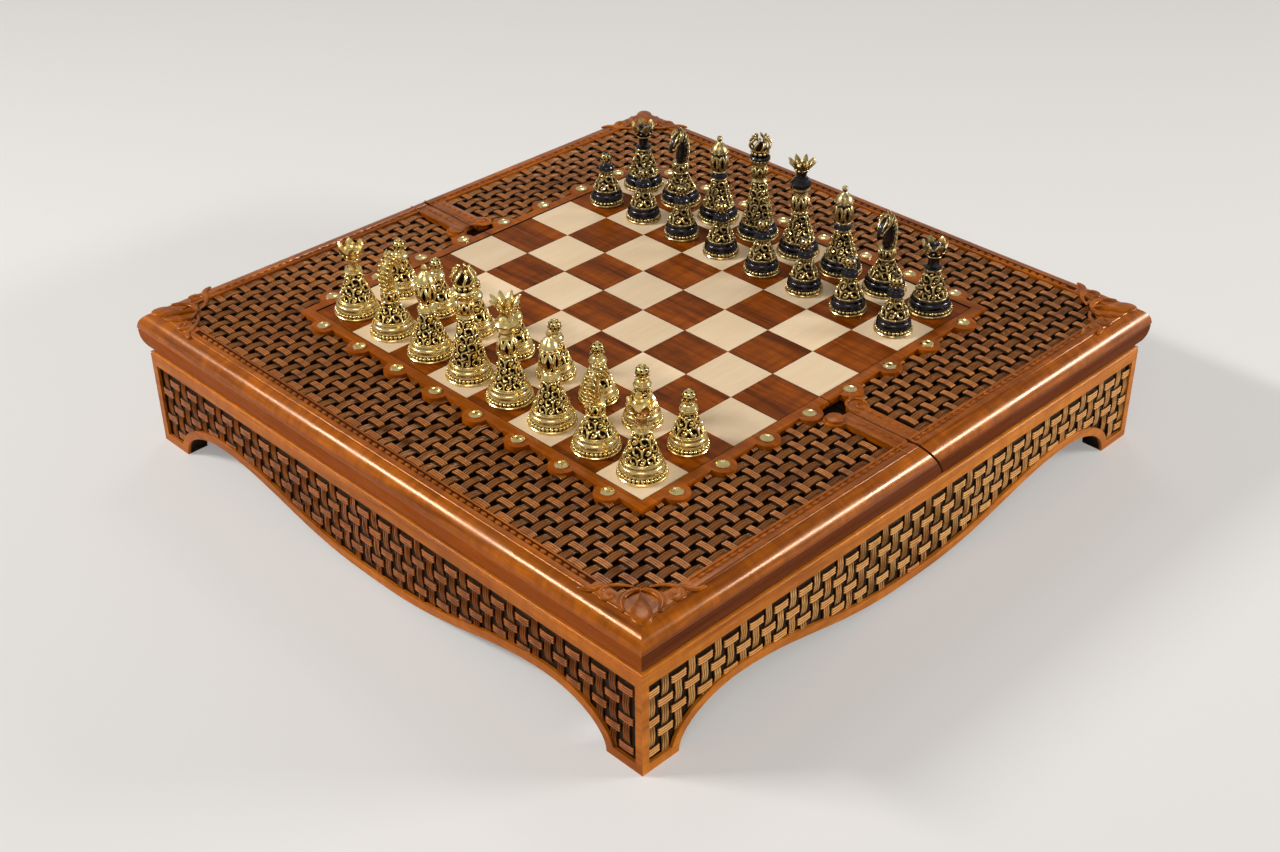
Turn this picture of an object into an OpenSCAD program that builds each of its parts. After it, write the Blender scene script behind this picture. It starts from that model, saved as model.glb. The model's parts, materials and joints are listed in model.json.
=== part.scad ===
// Chess box: a carved base with a lined storage well, under a chessboard top in two
// halves that draw apart like drawers, with its openwork chessmen set out on the squares.
// X runs along the players' sides, Y from the white player to the black one, Z up.
// The origin is on the floor, under the middle of the board.

/* [Board] */
// Side of one square of the chessboard
cell = 45; // [42:0.5:48]
// Thickness of the inlaid squares
square_t = 8; // [7:0.5:10]
// Width of the dark line left between squares
square_joint = 0.4; // [0.2:0.1:0.8]
// Width of the plain band round the board
band_w = 9; // [7:0.5:12]
// How far the band stands above the squares
band_proud = 0.6; // [0.2:0.1:1.2]
// Radius of the round lobe at each stud
lobe_r = 10; // [8:0.5:12]
// Distance of a stud from the edge of the board
stud_out = 10; // [9:0.5:12]
// Radius of a brass stud
stud_r = 5.2; // [4:0.2:6.5]
// Height of a brass stud above the band
stud_h = 2; // [1.2:0.2:3]

/* [Top halves] */
// Height of the top from its underside to the squares
lid_h = 34; // [32:1:40]
// Width of the woven border between the band and the rim
weave_w = 70; // [60:1:80]
// How far the ground of the woven panel lies below the rim
weave_drop = 2; // [1.5:0.5:4]
// Distance between the middles of the carved strands
strand_pitch = 11.6; // [10:0.2:14]
// Width of a carved strand
strand_w = 6.4; // [5:0.2:8]
// Height of the carved strands above their ground
strand_h = 1.2; // [0.6:0.1:1.4]
// Width of the rim outside the woven border
rim_w = 22; // [20:0.5:26]
// Thickness of the plywood substrate
substrate_t = 6; // [4:0.5:9]
// Width of the ledge that carries the substrate
ledge_w = 8; // [5:0.5:12]
// Width of the rim's rounded edge, seen from above
nose_w = 15; // [12:0.5:17]
// Height of the rim's rounded edge
nose_h = 14; // [11:0.5:16]
// How far the rounded underside of the rim draws in
under_w = 10.5; // [7:0.5:12]
// Visible width of each rail beside the seam
seam_rail_w = 14; // [12:0.5:18]
// Gap between the two closed halves
seam_gap = 0.8; // [0.4:0.1:1.5]
// Lean of the seam away from the vertical, in degrees
seam_angle = 35; // [20:1:38]
// Radius of the round end of a seam rail
rail_end_r = 8.5; // [7:0.5:9]
// Distance of a round end from the edge of the board
rail_end_out = 27.5; // [27:0.5:32]
// Distance of the front rail's round ends from the seam
front_end_y = 15.5; // [10:0.5:16]
// Distance of the rear rail's round ends from the seam
rear_end_y = 10; // [9.5:0.5:14]
// Radius of the boss on the front rail's round ends
boss_r = 6.5; // [5:0.5:6.5]
// Height of that boss
boss_h = 2; // [1:0.2:2.4]

/* [Base] */
// Height of the base from the floor to its top edge
base_h = 84.3; // [80:0.5:95]
// Thickness of the aprons
apron_t = 18; // [16:0.5:22]
// How far the top overhangs the faces of the base
overhang = 5; // [3:0.5:6]
// Width of the rounded top edge, seen from above
top_round_w = 4; // [2:0.5:4.5]
// Height of the rounded top edge
top_round_h = 1.9; // [1:0.1:3]
// Radius of the bead groove under the top edge
groove_r = 0.6; // [0.4:0.1:1]
// Length of each foot along the floor
foot_w = 33; // [28:1:40]
// Distance of the arch's crown from the corner
arch_crown = 90; // [80:1:100]
// Height of the arch's crown above the floor
arch_h = 31.5; // [24:0.5:32]
// Height of the lower edge above the floor at mid-length
mid_h = 7; // [4:0.5:12]
// Width of the plain border at the sides of the carved field
field_side = 6.2; // [5:0.2:9]
// Width of the plain border above the carved field
field_top = 12.4; // [9:0.2:14]
// Width of the plain border along the lower edge
field_low = 7; // [5:0.5:9]
// Depth of the carved field
field_depth = 3; // [2:0.5:5]
// Thickness of the bottom panel
bottom_t = 6; // [4:0.5:8]
// Height of the bottom panel's underside above the floor
bottom_z = 35; // [34.5:0.5:38]
// How far the bottom panel runs into the aprons
bottom_lap = 5; // [3:0.5:7]
// Side of the triangular corner blocks
block_w = 24; // [18:1:30]

/* [Storage well] */
// Thickness of the felt lining
lining_t = 1.5; // [1:0.5:3]
// Thickness of the dividers
divider_t = 5; // [4:0.5:8]
// Height of the dividers above the lining
divider_h = 22; // [16:0.5:23]
// Distance of the outer cross dividers from the middle
cross_at = 122; // [100:1:130]
// Distance of the long dividers from the middle
long_at = 80; // [60:1:100]

/* [Slides] */
// Travel of each half
travel = 120; // [80:1:130]
// Clearance between the underside of the top and the base
slide_gap = 0.2; // [0.1:0.05:0.3]
// Width of a guide rail
guide_w = 12; // [10:0.5:14]
// Height of a guide rail
guide_h = 18; // [16:0.5:19]
// Height of the groove in a guide rail
groove_h = 6.4; // [5:0.2:7]
// Depth of that groove
groove_d = 5; // [3:0.5:6]
// Height of the wood under that groove
groove_lip = 6; // [4:0.5:7]
// Thickness of a runner's web
runner_t = 8; // [6:0.5:10]
// Depth of the web below the tongue
runner_toe = 2.2; // [1:0.2:3]
// Clearance between runner and guide
run_clear = 0.4; // [0.3:0.05:0.6]
// Clearance left at the end of the travel
end_clear = 1; // [0.5:0.5:3]

/* [Chessmen] */
// Radius of the base of a piece
man_r = 17.8; // [15:0.2:19]
// Radius of the base of a pawn
pawn_r = 14.9; // [13:0.2:16]
// Height of a king
king_h = 90; // [84:0.5:100]
// Height of a queen
queen_h = 84; // [78:0.5:92]
// Height of a bishop
bishop_h = 75; // [70:0.5:84]
// Height of a knight
knight_h = 70; // [66:0.5:78]
// Height of a rook
rook_h = 60; // [57:0.5:68]
// Height of a pawn
pawn_h = 47; // [44:0.5:54]

/* [Hidden] */
$fn = 64;

// Counts of squares along the board, and of straight steps that draw a curved edge
squares = 8;
arc_steps = 12;
edge_steps = 14;
// Reach of the cutting shapes past what they cut
cut = 5;
// Clearance round glued-in pieces
fit = 0.1;

board_half = squares / 2 * cell;
band_half = board_half + band_w;
rim_in = band_half + weave_w;
lid_half = rim_in + rim_w;
base_half = lid_half - overhang;
well_half = base_half - apron_t;
lid_z0 = base_h + slide_gap;
lid_z1 = lid_z0 + lid_h;
squares_z0 = lid_z1 - square_t;
substrate_z0 = squares_z0 - substrate_t;
bottom_z1 = bottom_z + bottom_t;
lining_z1 = bottom_z1 + lining_t;
divider_z1 = lining_z1 + divider_h;
guide_z0 = base_h - guide_h;
guide_x0 = well_half - guide_w;
groove_z0 = guide_z0 + groove_lip;
tongue_z0 = groove_z0 + run_clear;
runner_z0 = tongue_z0 - runner_toe;
runner_x1 = guide_x0 - run_clear;
runner_far = well_half - travel - end_clear;
seam_lean = tan(seam_angle);
seam_foot = (lid_z1 - lid_z0) * seam_lean;
rail_end_x = board_half + rail_end_out;
arch_a = arch_crown - foot_w;
arch_run = base_half - arch_crown;
// Shape of the long rise of the lower edge from mid-length to the arch's crown
rise_power = 1.35;
// Height above the board at which a chessman's bell starts
bell_z = 13;

walnut = [0.45, 0.20, 0.08];
oak = [0.66, 0.36, 0.15];
maple = [0.90, 0.80, 0.62];
mahogany = [0.36, 0.14, 0.06];
brass = [0.85, 0.70, 0.36];
black_metal = [0.14, 0.12, 0.11];

// Where the seam lies across the top, at a height z
function seam_y(z) = (lid_z1 - z) * seam_lean;

// Height of an apron's lower edge, d from its nearer corner
function arch_z(d) = d <= foot_w ? 0
    : d < arch_crown ? arch_h * sqrt(1 - pow((arch_crown - d) / arch_a, 2))
    : mid_h + (arch_h - mid_h) * pow((1 + cos(180 * (d - arch_crown) / arch_run)) / 2, rise_power);

// Distances from the corner at which the lower edge is drawn, from the foot to mid-length
function arch_stations() = concat(
    [for (i = [0:arc_steps]) arch_crown - arch_a * cos(90 * i / arc_steps)],
    [for (i = [1:edge_steps]) arch_crown + arch_run * i / edge_steps]);

// Lower edge of half an apron, from its corner to mid-length, as [along, height]
function lower_edge() = concat([[-base_half, 0]],
    [for (d = arch_stations()) [d - base_half, arch_z(d)]]);

// Distances from the corner at which the carved field's lower edge is drawn
function field_foot() = arch_crown - (arch_a + field_low)
    * sqrt(1 - pow(field_low / (arch_h + field_low), 2));

// Lower edge of half a carved field, a border's width above the apron's own
function field_edge() = concat([[field_side - base_half, field_low]],
    [for (i = [0:arc_steps])
        let (d = field_foot() + (arch_crown - field_foot()) * (1 - cos(90 * i / arc_steps)))
        [d - base_half, max(field_low, (arch_h + field_low)
            * sqrt(1 - pow((arch_crown - d) / (arch_a + field_low), 2)))]],
    [for (i = [1:edge_steps]) let (d = arch_crown + arch_run * i / edge_steps)
        [d - base_half, arch_z(d) + field_low]]);

// A half outline, mirrored and closed by a level line at height top
function closed_outline(half, top) = concat([[half[0][0], top]], half,
    [for (i = [len(half) - 2:-1:0]) [-half[i][0], half[i][1]]], [[-half[0][0], top]]);

// Swings a flat shape drawn as [along X, up Z] upright, t thick, its outer face at y = -reach
module upright(reach, t) {
    translate([0, t - reach, 0]) rotate([90, 0, 0]) linear_extrude(t) children();
}

// Draws a shape given as [Y, Z] out along X to both sides
module along_x(half_length) {
    translate([-half_length, 0, 0]) rotate([90, 0, 90]) linear_extrude(2 * half_length) children();
}

// The quarter of a square plan that belongs to the side at -Y, cut at the mitres
module mitre_zone(reach, z0, z1) {
    translate([0, 0, z0]) linear_extrude(z1 - z0)
        polygon([[0, 0], [-reach, -reach], [reach, -reach]]);
}

// The space on one side of the leaning seam: side -1 is the front half, 1 the rear one
module half_zone(side) {
    reach = lid_half + cut;
    low = lid_z0 - cut;
    high = lid_z1 + cut;
    along_x(reach) polygon([
        [side * reach, low], [seam_y(low) + side * seam_gap / 2, low],
        [seam_y(high) + side * seam_gap / 2, high], [side * reach, high]]);
}

// ---- base ----

module apron_body() {
    difference() {
        intersection() {
            upright(base_half, apron_t) polygon(closed_outline(lower_edge(), base_h));
            mitre_zone(base_half + cut, -cut, base_h + cut);
        }
        upright(base_half + cut, field_depth + cut)
            polygon(closed_outline(field_edge(), base_h - field_top));
        // rounded top edge
        along_x(base_half + cut) polygon(concat(
            [[-base_half - cut, base_h + cut], [-base_half - cut, base_h - top_round_h]],
            [for (i = [0:arc_steps]) let (a = 90 * i / arc_steps)
                [top_round_w * (1 - cos(a)) - base_half, base_h - top_round_h * (1 - sin(a))]],
            [[top_round_w - base_half, base_h + cut]]));
        // groove under the rounded edge
        translate([0, -base_half, base_h - top_round_h - groove_r]) rotate([0, 90, 0])
            cylinder(h = 2 * base_half + 2 * cut, r = groove_r, center = true, $fn = 24);
        // groove for the bottom panel
        translate([-base_half, -well_half - bottom_lap - fit, bottom_z - fit])
            cube([2 * base_half, bottom_lap + fit + cut, bottom_t + 2 * fit]);
    }
}

module apron(turn) {
    color(oak) rotate([0, 0, turn]) apron_body();
}

module corner_blocks() {
    color(oak) for (turn = [0:90:270]) rotate([0, 0, turn])
        translate([well_half, -well_half, bottom_z1]) linear_extrude(guide_z0 - bottom_z1)
            polygon([[0, 0], [0, block_w], [-block_w, 0]]);
}

module bottom_panel() {
    side = 2 * (well_half + bottom_lap);
    color(maple) translate([-side / 2, -side / 2, bottom_z]) cube([side, side, bottom_t]);
}

module well_lining() {
    corner = block_w + fit;
    color([0.10, 0.22, 0.14]) translate([0, 0, bottom_z1]) linear_extrude(lining_t) difference() {
        square(2 * well_half, center = true);
        for (turn = [0:90:270]) rotate(turn) translate([well_half, -well_half])
            polygon([[cut, -cut], [cut, corner + cut], [-corner - cut, -cut]]);
    }
}

// Cross dividers run along X and are notched from above, long ones run along Y
module cross_dividers() {
    notch_z = (lining_z1 + divider_z1) / 2;
    color(oak) difference() {
        for (y = [-cross_at, 0, cross_at])
            translate([-well_half, y - divider_t / 2, lining_z1]) cube([2 * well_half, divider_t, divider_h]);
        for (x = [-long_at, long_at])
            translate([x - divider_t / 2 - fit, -well_half, notch_z])
                cube([divider_t + 2 * fit, 2 * well_half, divider_h]);
    }
}

module long_dividers() {
    notch_z = (lining_z1 + divider_z1) / 2;
    length = 2 * cross_at + divider_t;
    color(oak) difference() {
        for (x = [-long_at, long_at])
            translate([x - divider_t / 2, -length / 2, lining_z1]) cube([divider_t, length, divider_h]);
        for (y = [-cross_at, 0, cross_at])
            translate([-well_half, y - divider_t / 2 - fit, lining_z1 - cut])
                cube([2 * well_half, divider_t + 2 * fit, notch_z - lining_z1 + cut]);
    }
}

// One guide rail on each side wall, with a groove that the runner's tongue slides in
module guide_rails() {
    color(oak) for (side = [0, 1]) mirror([side, 0, 0])
        translate([0, well_half, 0]) rotate([90, 0, 0]) linear_extrude(2 * well_half) difference() {
            translate([guide_x0, guide_z0]) square([guide_w, guide_h]);
            translate([guide_x0 - cut, groove_z0]) square([groove_d + cut, groove_h]);
        }
}

// ---- top halves ----

// Section of the rim as [outward, height]: ledge, flat, rounded nose, bead and drawn-in underside
module rim_section() {
    bead = 1.2;
    nose_z = lid_z1 - nose_h;
    under_z = nose_z - 2 * bead;
    ledge_z = lid_z1 - square_t - substrate_t;
    polygon(concat(
        [[rim_in - ledge_w, lid_z0], [rim_in - ledge_w, ledge_z], [rim_in, ledge_z], [rim_in, lid_z1]],
        [for (i = [0:edge_steps]) let (a = 90 * i / edge_steps)
            [lid_half - nose_w + nose_w * sin(a), nose_z + nose_h * cos(a)]],
        [[lid_half - bead, nose_z - bead / 2]],
        [for (i = [0:edge_steps]) let (a = 90 * i / edge_steps)
            [lid_half - under_w + (under_w - bead / 3) * cos(a),
             lid_z0 + (under_z - lid_z0) * (1 - sin(a))]]));
}

module rim_side(turn) {
    rotate([0, 0, turn]) intersection() {
        along_x(lid_half + cut) mirror([1, 0]) rim_section();
        mitre_zone(lid_half + cut, lid_z0 - cut, lid_z1 + cut);
    }
}

module outer_rail(side) {
    color(walnut) rim_side(side < 0 ? 0 : 180);
}

module side_rail(side, turn) {
    color(walnut) intersection() {
        rim_side(turn);
        half_zone(side);
    }
}

// Plan of the plain band with a round lobe at every stud, grown by a clearance
module band_plan(clear) {
    square(2 * (band_half + clear), center = true);
    stud_places() circle(lobe_r + clear);
}

// Puts a copy at every stud round the board
module stud_places() {
    for (turn = [0:90:270])
        for (i = [0:squares - 1])
            rotate(turn) translate([(i - (squares - 1) / 2) * cell, -board_half - stud_out]) children();
}

module board_band(side) {
    color(mahogany) intersection() {
        translate([0, 0, squares_z0]) linear_extrude(square_t + band_proud) difference() {
            band_plan(0);
            square(2 * board_half + square_joint, center = true);
        }
        half_zone(side);
    }
}

module studs(side) {
    color(brass) intersection() {
        translate([0, 0, lid_z1 + band_proud]) stud_places() {
            cylinder(h = stud_h * 0.6, r = stud_r);
            translate([0, 0, stud_h * 0.6]) cylinder(h = stud_h * 0.4, r1 = stud_r * 0.8, r2 = stud_r * 0.4);
        }
        translate([-lid_half, side < 0 ? -lid_half : 0, lid_z1]) cube([2 * lid_half, lid_half, 2 * cut]);
    }
}

// Plan of one side's seam rail where it shows: two arms with round ends, grown by a clearance
module rail_plan(side, clear) {
    near = side < 0 ? seam_rail_w + clear : 0;
    width = seam_rail_w + clear + (side < 0 ? seam_foot : 0);
    for (x = [0, 1]) mirror([x, 0]) {
        translate([rail_end_x - clear, -near]) square([rim_in + cut - rail_end_x + clear, width]);
        translate([rail_end_x, side < 0 ? -front_end_y : rear_end_y]) circle(rail_end_r + clear);
    }
}

// Rail beside the seam: its arms show between rim and band, its foot carries the substrate
module seam_rail(side) {
    foot = side < 0 ? seam_rail_w + ledge_w : 0;
    foot_w = seam_rail_w + ledge_w + (side < 0 ? seam_foot : seam_foot / 2);
    color(walnut) union() {
        intersection() {
            union() {
                translate([ledge_w + fit - rim_in, -foot, lid_z0])
                    cube([2 * (rim_in - ledge_w - fit), foot_w, substrate_z0 - lid_z0]);
                translate([0, 0, substrate_z0]) linear_extrude(lid_z1 - substrate_z0) intersection() {
                    rail_plan(side, 0);
                    square(2 * rim_in, center = true);
                }
            }
            half_zone(side);
        }
        if (side < 0) for (x = [-1, 1])
            translate([x * rail_end_x, -front_end_y, lid_z1]) cylinder(h = boss_h, r = boss_r);
    }
}

module substrate(side) {
    color(maple) intersection() {
        translate([0, 0, substrate_z0]) linear_extrude(substrate_t) difference() {
            square(2 * rim_in, center = true);
            rail_plan(side, fit);
        }
        half_zone(side);
    }
}

// Plan of one side's woven border, where band and seam rails leave it free
module weave_plan(side) {
    difference() {
        square(2 * rim_in, center = true);
        band_plan(fit);
        rail_plan(side, fit);
    }
}

// Panel with the long strands of its weave, which run along Y
module weave_panel(side) {
    last = floor((rim_in - strand_w / 2) / strand_pitch);
    color(walnut) intersection() {
        translate([0, 0, squares_z0]) union() {
            linear_extrude(square_t - weave_drop) weave_plan(side);
            translate([0, 0, square_t - weave_drop]) linear_extrude(strand_h) intersection() {
                weave_plan(side);
                for (i = [-last:last])
                    translate([i * strand_pitch - strand_w / 2, -rim_in]) square([strand_w, 2 * rim_in]);
            }
        }
        half_zone(side);
    }
}

// Squares of one shade in one half: the white player's right-hand corner is light
module board_squares(side, shade) {
    first = side < 0 ? 0 : squares / 2;
    corner = square_joint / 2 - board_half;
    intersection() {
        for (row = [first:first + squares / 2 - 1])
            for (column = [0:squares - 1])
                if ((row + column + 1) % 2 == shade)
                    translate([column * cell + corner, row * cell + corner, squares_z0])
                        cube([cell - square_joint, cell - square_joint, square_t]);
        half_zone(side);
    }
}

module light_squares(side) {
    color(maple) board_squares(side, 0);
}

module dark_squares(side) {
    color(mahogany) board_squares(side, 1);
}

// Runner under each side of a half: a web from the substrate and a tongue in the guide's groove
module runners(side) {
    near = side < 0 ? seam_rail_w + ledge_w + fit : seam_rail_w + ledge_w + seam_foot / 2 + fit;
    color(oak) for (x = [0, 1]) mirror([x, 0, 0])
        translate([0, side < 0 ? -near : runner_far, 0]) rotate([90, 0, 0])
            linear_extrude(runner_far - near) {
                translate([runner_x1 - runner_t, runner_z0]) square([runner_t, substrate_z0 - runner_z0]);
                translate([runner_x1 - fit, tongue_z0])
                    square([groove_d + fit, groove_h - 2 * run_clear]);
            }
}

// ---- chessmen ----

// Centre of a square, counted from the white player's left-hand corner
function square_at(column, row) =
    [(column + 0.5) * cell - board_half, (row + 0.5) * cell - board_half, lid_z1];

// Foot of a chessman of radius r: disc, beaded ring and steps, up to the bell
function foot_points(r) = [[0, 0], [r, 0], [r, 2.2], [r * 0.955, 2.8], [r * 0.965, 5.4],
    [r * 0.90, 6.2], [r * 0.88, 8.4], [r * 0.81, 9.2], [r * 0.79, 11.2], [r * 0.73, 12]];

// Bell and neck between the foot and the collar at height top
function bell_points(r, top) = let (rise = top - bell_z)
    [[r * 0.71, bell_z], [r * 0.60, bell_z + rise * 0.25], [r * 0.45, bell_z + rise * 0.55],
     [r * 0.33, bell_z + rise * 0.85], [r * 0.30, top]];

// Collar of radius r that starts at height z
function collar_points(r, z) = [[r * 0.8, z], [r, z + 0.9], [r, z + 2.1], [r * 0.8, z + 3]];

// Round head of radius r whose centre is at height z, with a neck of radius n below it
function ball_points(r, z, n) = [for (i = [0:edge_steps])
    let (a = asin(n / r) + (180 - asin(n / r)) * i / edge_steps) [r * sin(a), z - r * cos(a)]];

module turned(points) {
    rotate_extrude() polygon(points);
}

module pawn() {
    head = 5.4;
    collar = pawn_h - 16;
    turned(concat(foot_points(pawn_r), bell_points(pawn_r, collar),
        collar_points(pawn_r * 0.44, collar), [[3.4, collar + 3.6]],
        ball_points(head, pawn_h - head, 3), [[0, pawn_h]]));
}

module rook() {
    cup = rook_h - 12;
    collar = rook_h - 25;
    difference() {
        turned(concat(foot_points(man_r), bell_points(man_r, collar),
            collar_points(man_r * 0.40, collar),
            [[4.6, collar + 4], [4.2, cup - 2], [6, cup], [8.2, cup + 4], [8.8, rook_h],
             [6.2, rook_h], [5.8, rook_h - 6], [0, rook_h - 6]]));
        for (turn = [0:60:120]) rotate([0, 0, turn])
            translate([-man_r, -1.5, rook_h - 4]) cube([2 * man_r, 3, 2 * cut]);
    }
}

// The head is cut from a side view, and looks along +Y
module knight() {
    neck = knight_h - 36;
    width = 9;
    turned(concat(foot_points(man_r), bell_points(man_r, neck),
        collar_points(man_r * 0.46, neck), [[0, neck + 3]]));
    translate([-width / 2, 0, neck + 2]) rotate([90, 0, 90]) linear_extrude(width)
        polygon([[-7, 0], [6, 0], [5, 8], [4, 13], [9, 12], [12, 14], [12.5, 17], [8, 22],
            [5, 27], [2, 31], [1.4, 34], [-1.5, 31.5], [-6, 27], [-8.6, 20], [-9, 11]]);
}

module bishop() {
    collar = bishop_h - 32;
    turned(concat(foot_points(man_r), bell_points(man_r, collar),
        collar_points(man_r * 0.44, collar),
        [[4.4, collar + 4], [6.4, collar + 10], [6.6, collar + 14], [4.6, collar + 20],
         [7, collar + 21], [5.6, collar + 24], [1.9, bishop_h - 4.6]],
        ball_points(2.3, bishop_h - 2.3, 1.6), [[0, bishop_h]]));
}

module queen() {
    collar = queen_h - 36;
    points = 8;
    difference() {
        turned(concat(foot_points(man_r), bell_points(man_r, collar),
            collar_points(man_r * 0.42, collar),
            [[4.6, collar + 4], [6.2, collar + 12], [4.4, collar + 17], [7.4, collar + 18.5],
             [7.4, collar + 21], [4.8, collar + 22], [5.2, queen_h - 10], [9.4, queen_h],
             [7.6, queen_h], [3, queen_h - 8], [0, queen_h - 8]]));
        for (i = [0:points / 2 - 1]) rotate([0, 0, (i + 0.5) * 360 / points])
            translate([0, 0, queen_h - 6]) rotate([90, 0, 90])
                linear_extrude(2 * man_r, center = true) polygon([[0, 0], [3.4, 7], [-3.4, 7]]);
    }
}

module king() {
    collar = king_h - 40;
    crown = 8.2;
    turned(concat(foot_points(man_r), bell_points(man_r, collar),
        collar_points(man_r * 0.42, collar),
        [[4.8, collar + 4], [6.6, collar + 12], [4.8, collar + 18], [7.8, collar + 19.5],
         [7.8, collar + 22.4], [5, collar + 23.4]],
        ball_points(crown, king_h - crown, 5), [[0, king_h]]));
}

// A rank of pawns, and the pieces of one side; row is the rank they stand on
module pawn_rank(row, tint) {
    color(tint) for (column = [0:squares - 1]) translate(square_at(column, row)) pawn();
}

// Two like pieces, as many squares in from each end; turn faces them to the other player
module piece_pair(inset, row, tint, turn) {
    color(tint) for (column = [inset, squares - 1 - inset])
        translate(square_at(column, row)) rotate([0, 0, turn]) children();
}

module single_piece(column, row, tint) {
    color(tint) translate(square_at(column, row)) children();
}

apron(0);  // front_apron
apron(90);  // right_apron
apron(180);  // rear_apron
apron(270);  // left_apron
corner_blocks();
bottom_panel();
well_lining();
cross_dividers();
long_dividers();
guide_rails();
outer_rail(-1);  // front_outer_rail
side_rail(-1, 270);  // front_left_rail
side_rail(-1, 90);  // front_right_rail
seam_rail(-1);  // front_seam_rail
substrate(-1);  // front_substrate
weave_panel(-1);  // front_weave_panel
light_squares(-1);  // front_light_squares
dark_squares(-1);  // front_dark_squares
board_band(-1);  // front_board_band
studs(-1);  // front_studs
runners(-1);  // front_runners
outer_rail(1);  // rear_outer_rail
side_rail(1, 270);  // rear_left_rail
side_rail(1, 90);  // rear_right_rail
seam_rail(1);  // rear_seam_rail
substrate(1);  // rear_substrate
weave_panel(1);  // rear_weave_panel
light_squares(1);  // rear_light_squares
dark_squares(1);  // rear_dark_squares
board_band(1);  // rear_board_band
studs(1);  // rear_studs
runners(1);  // rear_runners
pawn_rank(1, brass);  // white_pawns
piece_pair(0, 0, brass, 0) rook();  // white_rooks
piece_pair(1, 0, brass, 0) knight();  // white_knights
piece_pair(2, 0, brass, 0) bishop();  // white_bishops
single_piece(3, 0, brass) king();  // white_king
single_piece(4, 0, brass) queen();  // white_queen
pawn_rank(6, black_metal);  // black_pawns
piece_pair(0, 7, black_metal, 180) rook();  // black_rooks
piece_pair(1, 7, black_metal, 180) knight();  // black_knights
piece_pair(2, 7, black_metal, 180) bishop();  // black_bishops
single_piece(3, 7, black_metal) king();  // black_king
single_piece(4, 7, black_metal) queen();  // black_queen
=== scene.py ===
"""Chess box: the wood, carving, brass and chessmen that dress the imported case."""

import json
import logging
import math
from contextlib import contextmanager
from dataclasses import dataclass, field
from enum import Enum
from typing import Callable, Iterator, Sequence

import bmesh
import bpy
from mathutils import Matrix, Vector

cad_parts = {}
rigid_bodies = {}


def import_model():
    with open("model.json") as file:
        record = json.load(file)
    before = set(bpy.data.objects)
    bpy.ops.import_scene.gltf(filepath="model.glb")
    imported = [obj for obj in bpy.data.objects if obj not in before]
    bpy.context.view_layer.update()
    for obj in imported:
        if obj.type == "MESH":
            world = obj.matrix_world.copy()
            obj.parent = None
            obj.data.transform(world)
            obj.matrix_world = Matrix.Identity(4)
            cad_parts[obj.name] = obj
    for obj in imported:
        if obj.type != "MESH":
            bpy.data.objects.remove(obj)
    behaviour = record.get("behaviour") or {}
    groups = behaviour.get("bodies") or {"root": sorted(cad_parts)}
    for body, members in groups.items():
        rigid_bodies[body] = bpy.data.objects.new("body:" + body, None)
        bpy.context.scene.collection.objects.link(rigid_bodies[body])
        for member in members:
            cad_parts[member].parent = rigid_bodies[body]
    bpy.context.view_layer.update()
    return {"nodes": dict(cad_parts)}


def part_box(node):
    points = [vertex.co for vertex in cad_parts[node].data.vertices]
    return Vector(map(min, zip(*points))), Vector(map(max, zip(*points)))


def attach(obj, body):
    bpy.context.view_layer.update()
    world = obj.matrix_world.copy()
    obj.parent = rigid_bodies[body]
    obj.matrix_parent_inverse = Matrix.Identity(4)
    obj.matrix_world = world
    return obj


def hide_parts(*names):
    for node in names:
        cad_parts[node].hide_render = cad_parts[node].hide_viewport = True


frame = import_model()

LOG = logging.getLogger("chess_box")
MM = 0.001
# Attribute of a carved bar: 1 along its grooves and its foot, 0 on its ridges; the woods darken by it as
# painted shade in the grooves
GROOVE = "groove"

Piece = bpy.types.Object
Material = bpy.types.Material
Socket = bpy.types.NodeSocket
Node = bpy.types.Node
Tree = bpy.types.NodeTree
Colour = tuple[float, float, float, float]
Flat = tuple[float, float]
Spot = tuple[float, float, float]


class Half(Enum):
    """The two halves of the top, by the side of the seam that they lie on."""

    FRONT = -1
    REAR = 1

    @property
    def word(self) -> str:
        """The half's name as the case's nodes spell it."""
        return self.name.lower()

    @property
    def body(self) -> str:
        """The body that carries the half."""
        return f"{self.word}_half"


class Role(Enum):
    """What a part of a chessman is: plain body, gilt relief or the dark inside, which is painted shade in
    place of the see-through piercings.
    """

    BODY = "body"
    GILT = "gilt"
    HOLE = "hole"


# Stand-in materials that mark the role of a chessman's parts until its side is known
ROLES = {role: bpy.data.materials.new(f"role_{role.value}") for role in Role}


# ---- hand tools ----


def mm(x: float, y: float, z: float = 0.0) -> Spot:
    """A point in metres, from one in millimetres."""
    return (x * MM, y * MM, z * MM)


def polar(radius: float, angle: float, z: float) -> Spot:
    """A point in metres, from millimetres and an angle about the upright axis in radians."""
    return mm(radius * math.cos(angle), radius * math.sin(angle), z)


def at(x: float, y: float, z: float = 0.0) -> Matrix:
    """A move, given in millimetres."""
    return Matrix.Translation(mm(x, y, z))


def turn_z(angle: float) -> Matrix:
    """A turn about the upright axis, given in radians."""
    return Matrix.Rotation(angle, 4, "Z")


def quarter_turn(count: int) -> Matrix:
    """The turn about the upright axis by a number of right angles."""
    return turn_z(count * math.pi / 2)


def around(count: int, ring: float, z: float, first: float = 0.0, lean: float = 0.0) -> list[Matrix]:
    """Places round the upright axis.

    Args:
        count: how many.
        ring: their distance from the axis, in millimetres.
        z: their height.
        first: the first one's turn, as a share of the step between two.
        lean: how far they lean out, in degrees.

    Returns:
        The places in order.
    """
    tilt = Matrix.Rotation(math.radians(lean), 4, "Y")
    return [turn_z(math.tau * (index + first) / count) @ at(ring, 0, z) @ tilt for index in range(count)]


def linked(name: str, data: bpy.types.ID) -> Piece:
    """Put a mesh, curve, lamp or camera in the scene as an object of its own.

    Args:
        name: the object's name.
        data: what it holds.

    Returns:
        The object.
    """
    thing = bpy.data.objects.new(name, data)
    bpy.context.scene.collection.objects.link(thing)
    return thing


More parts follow.
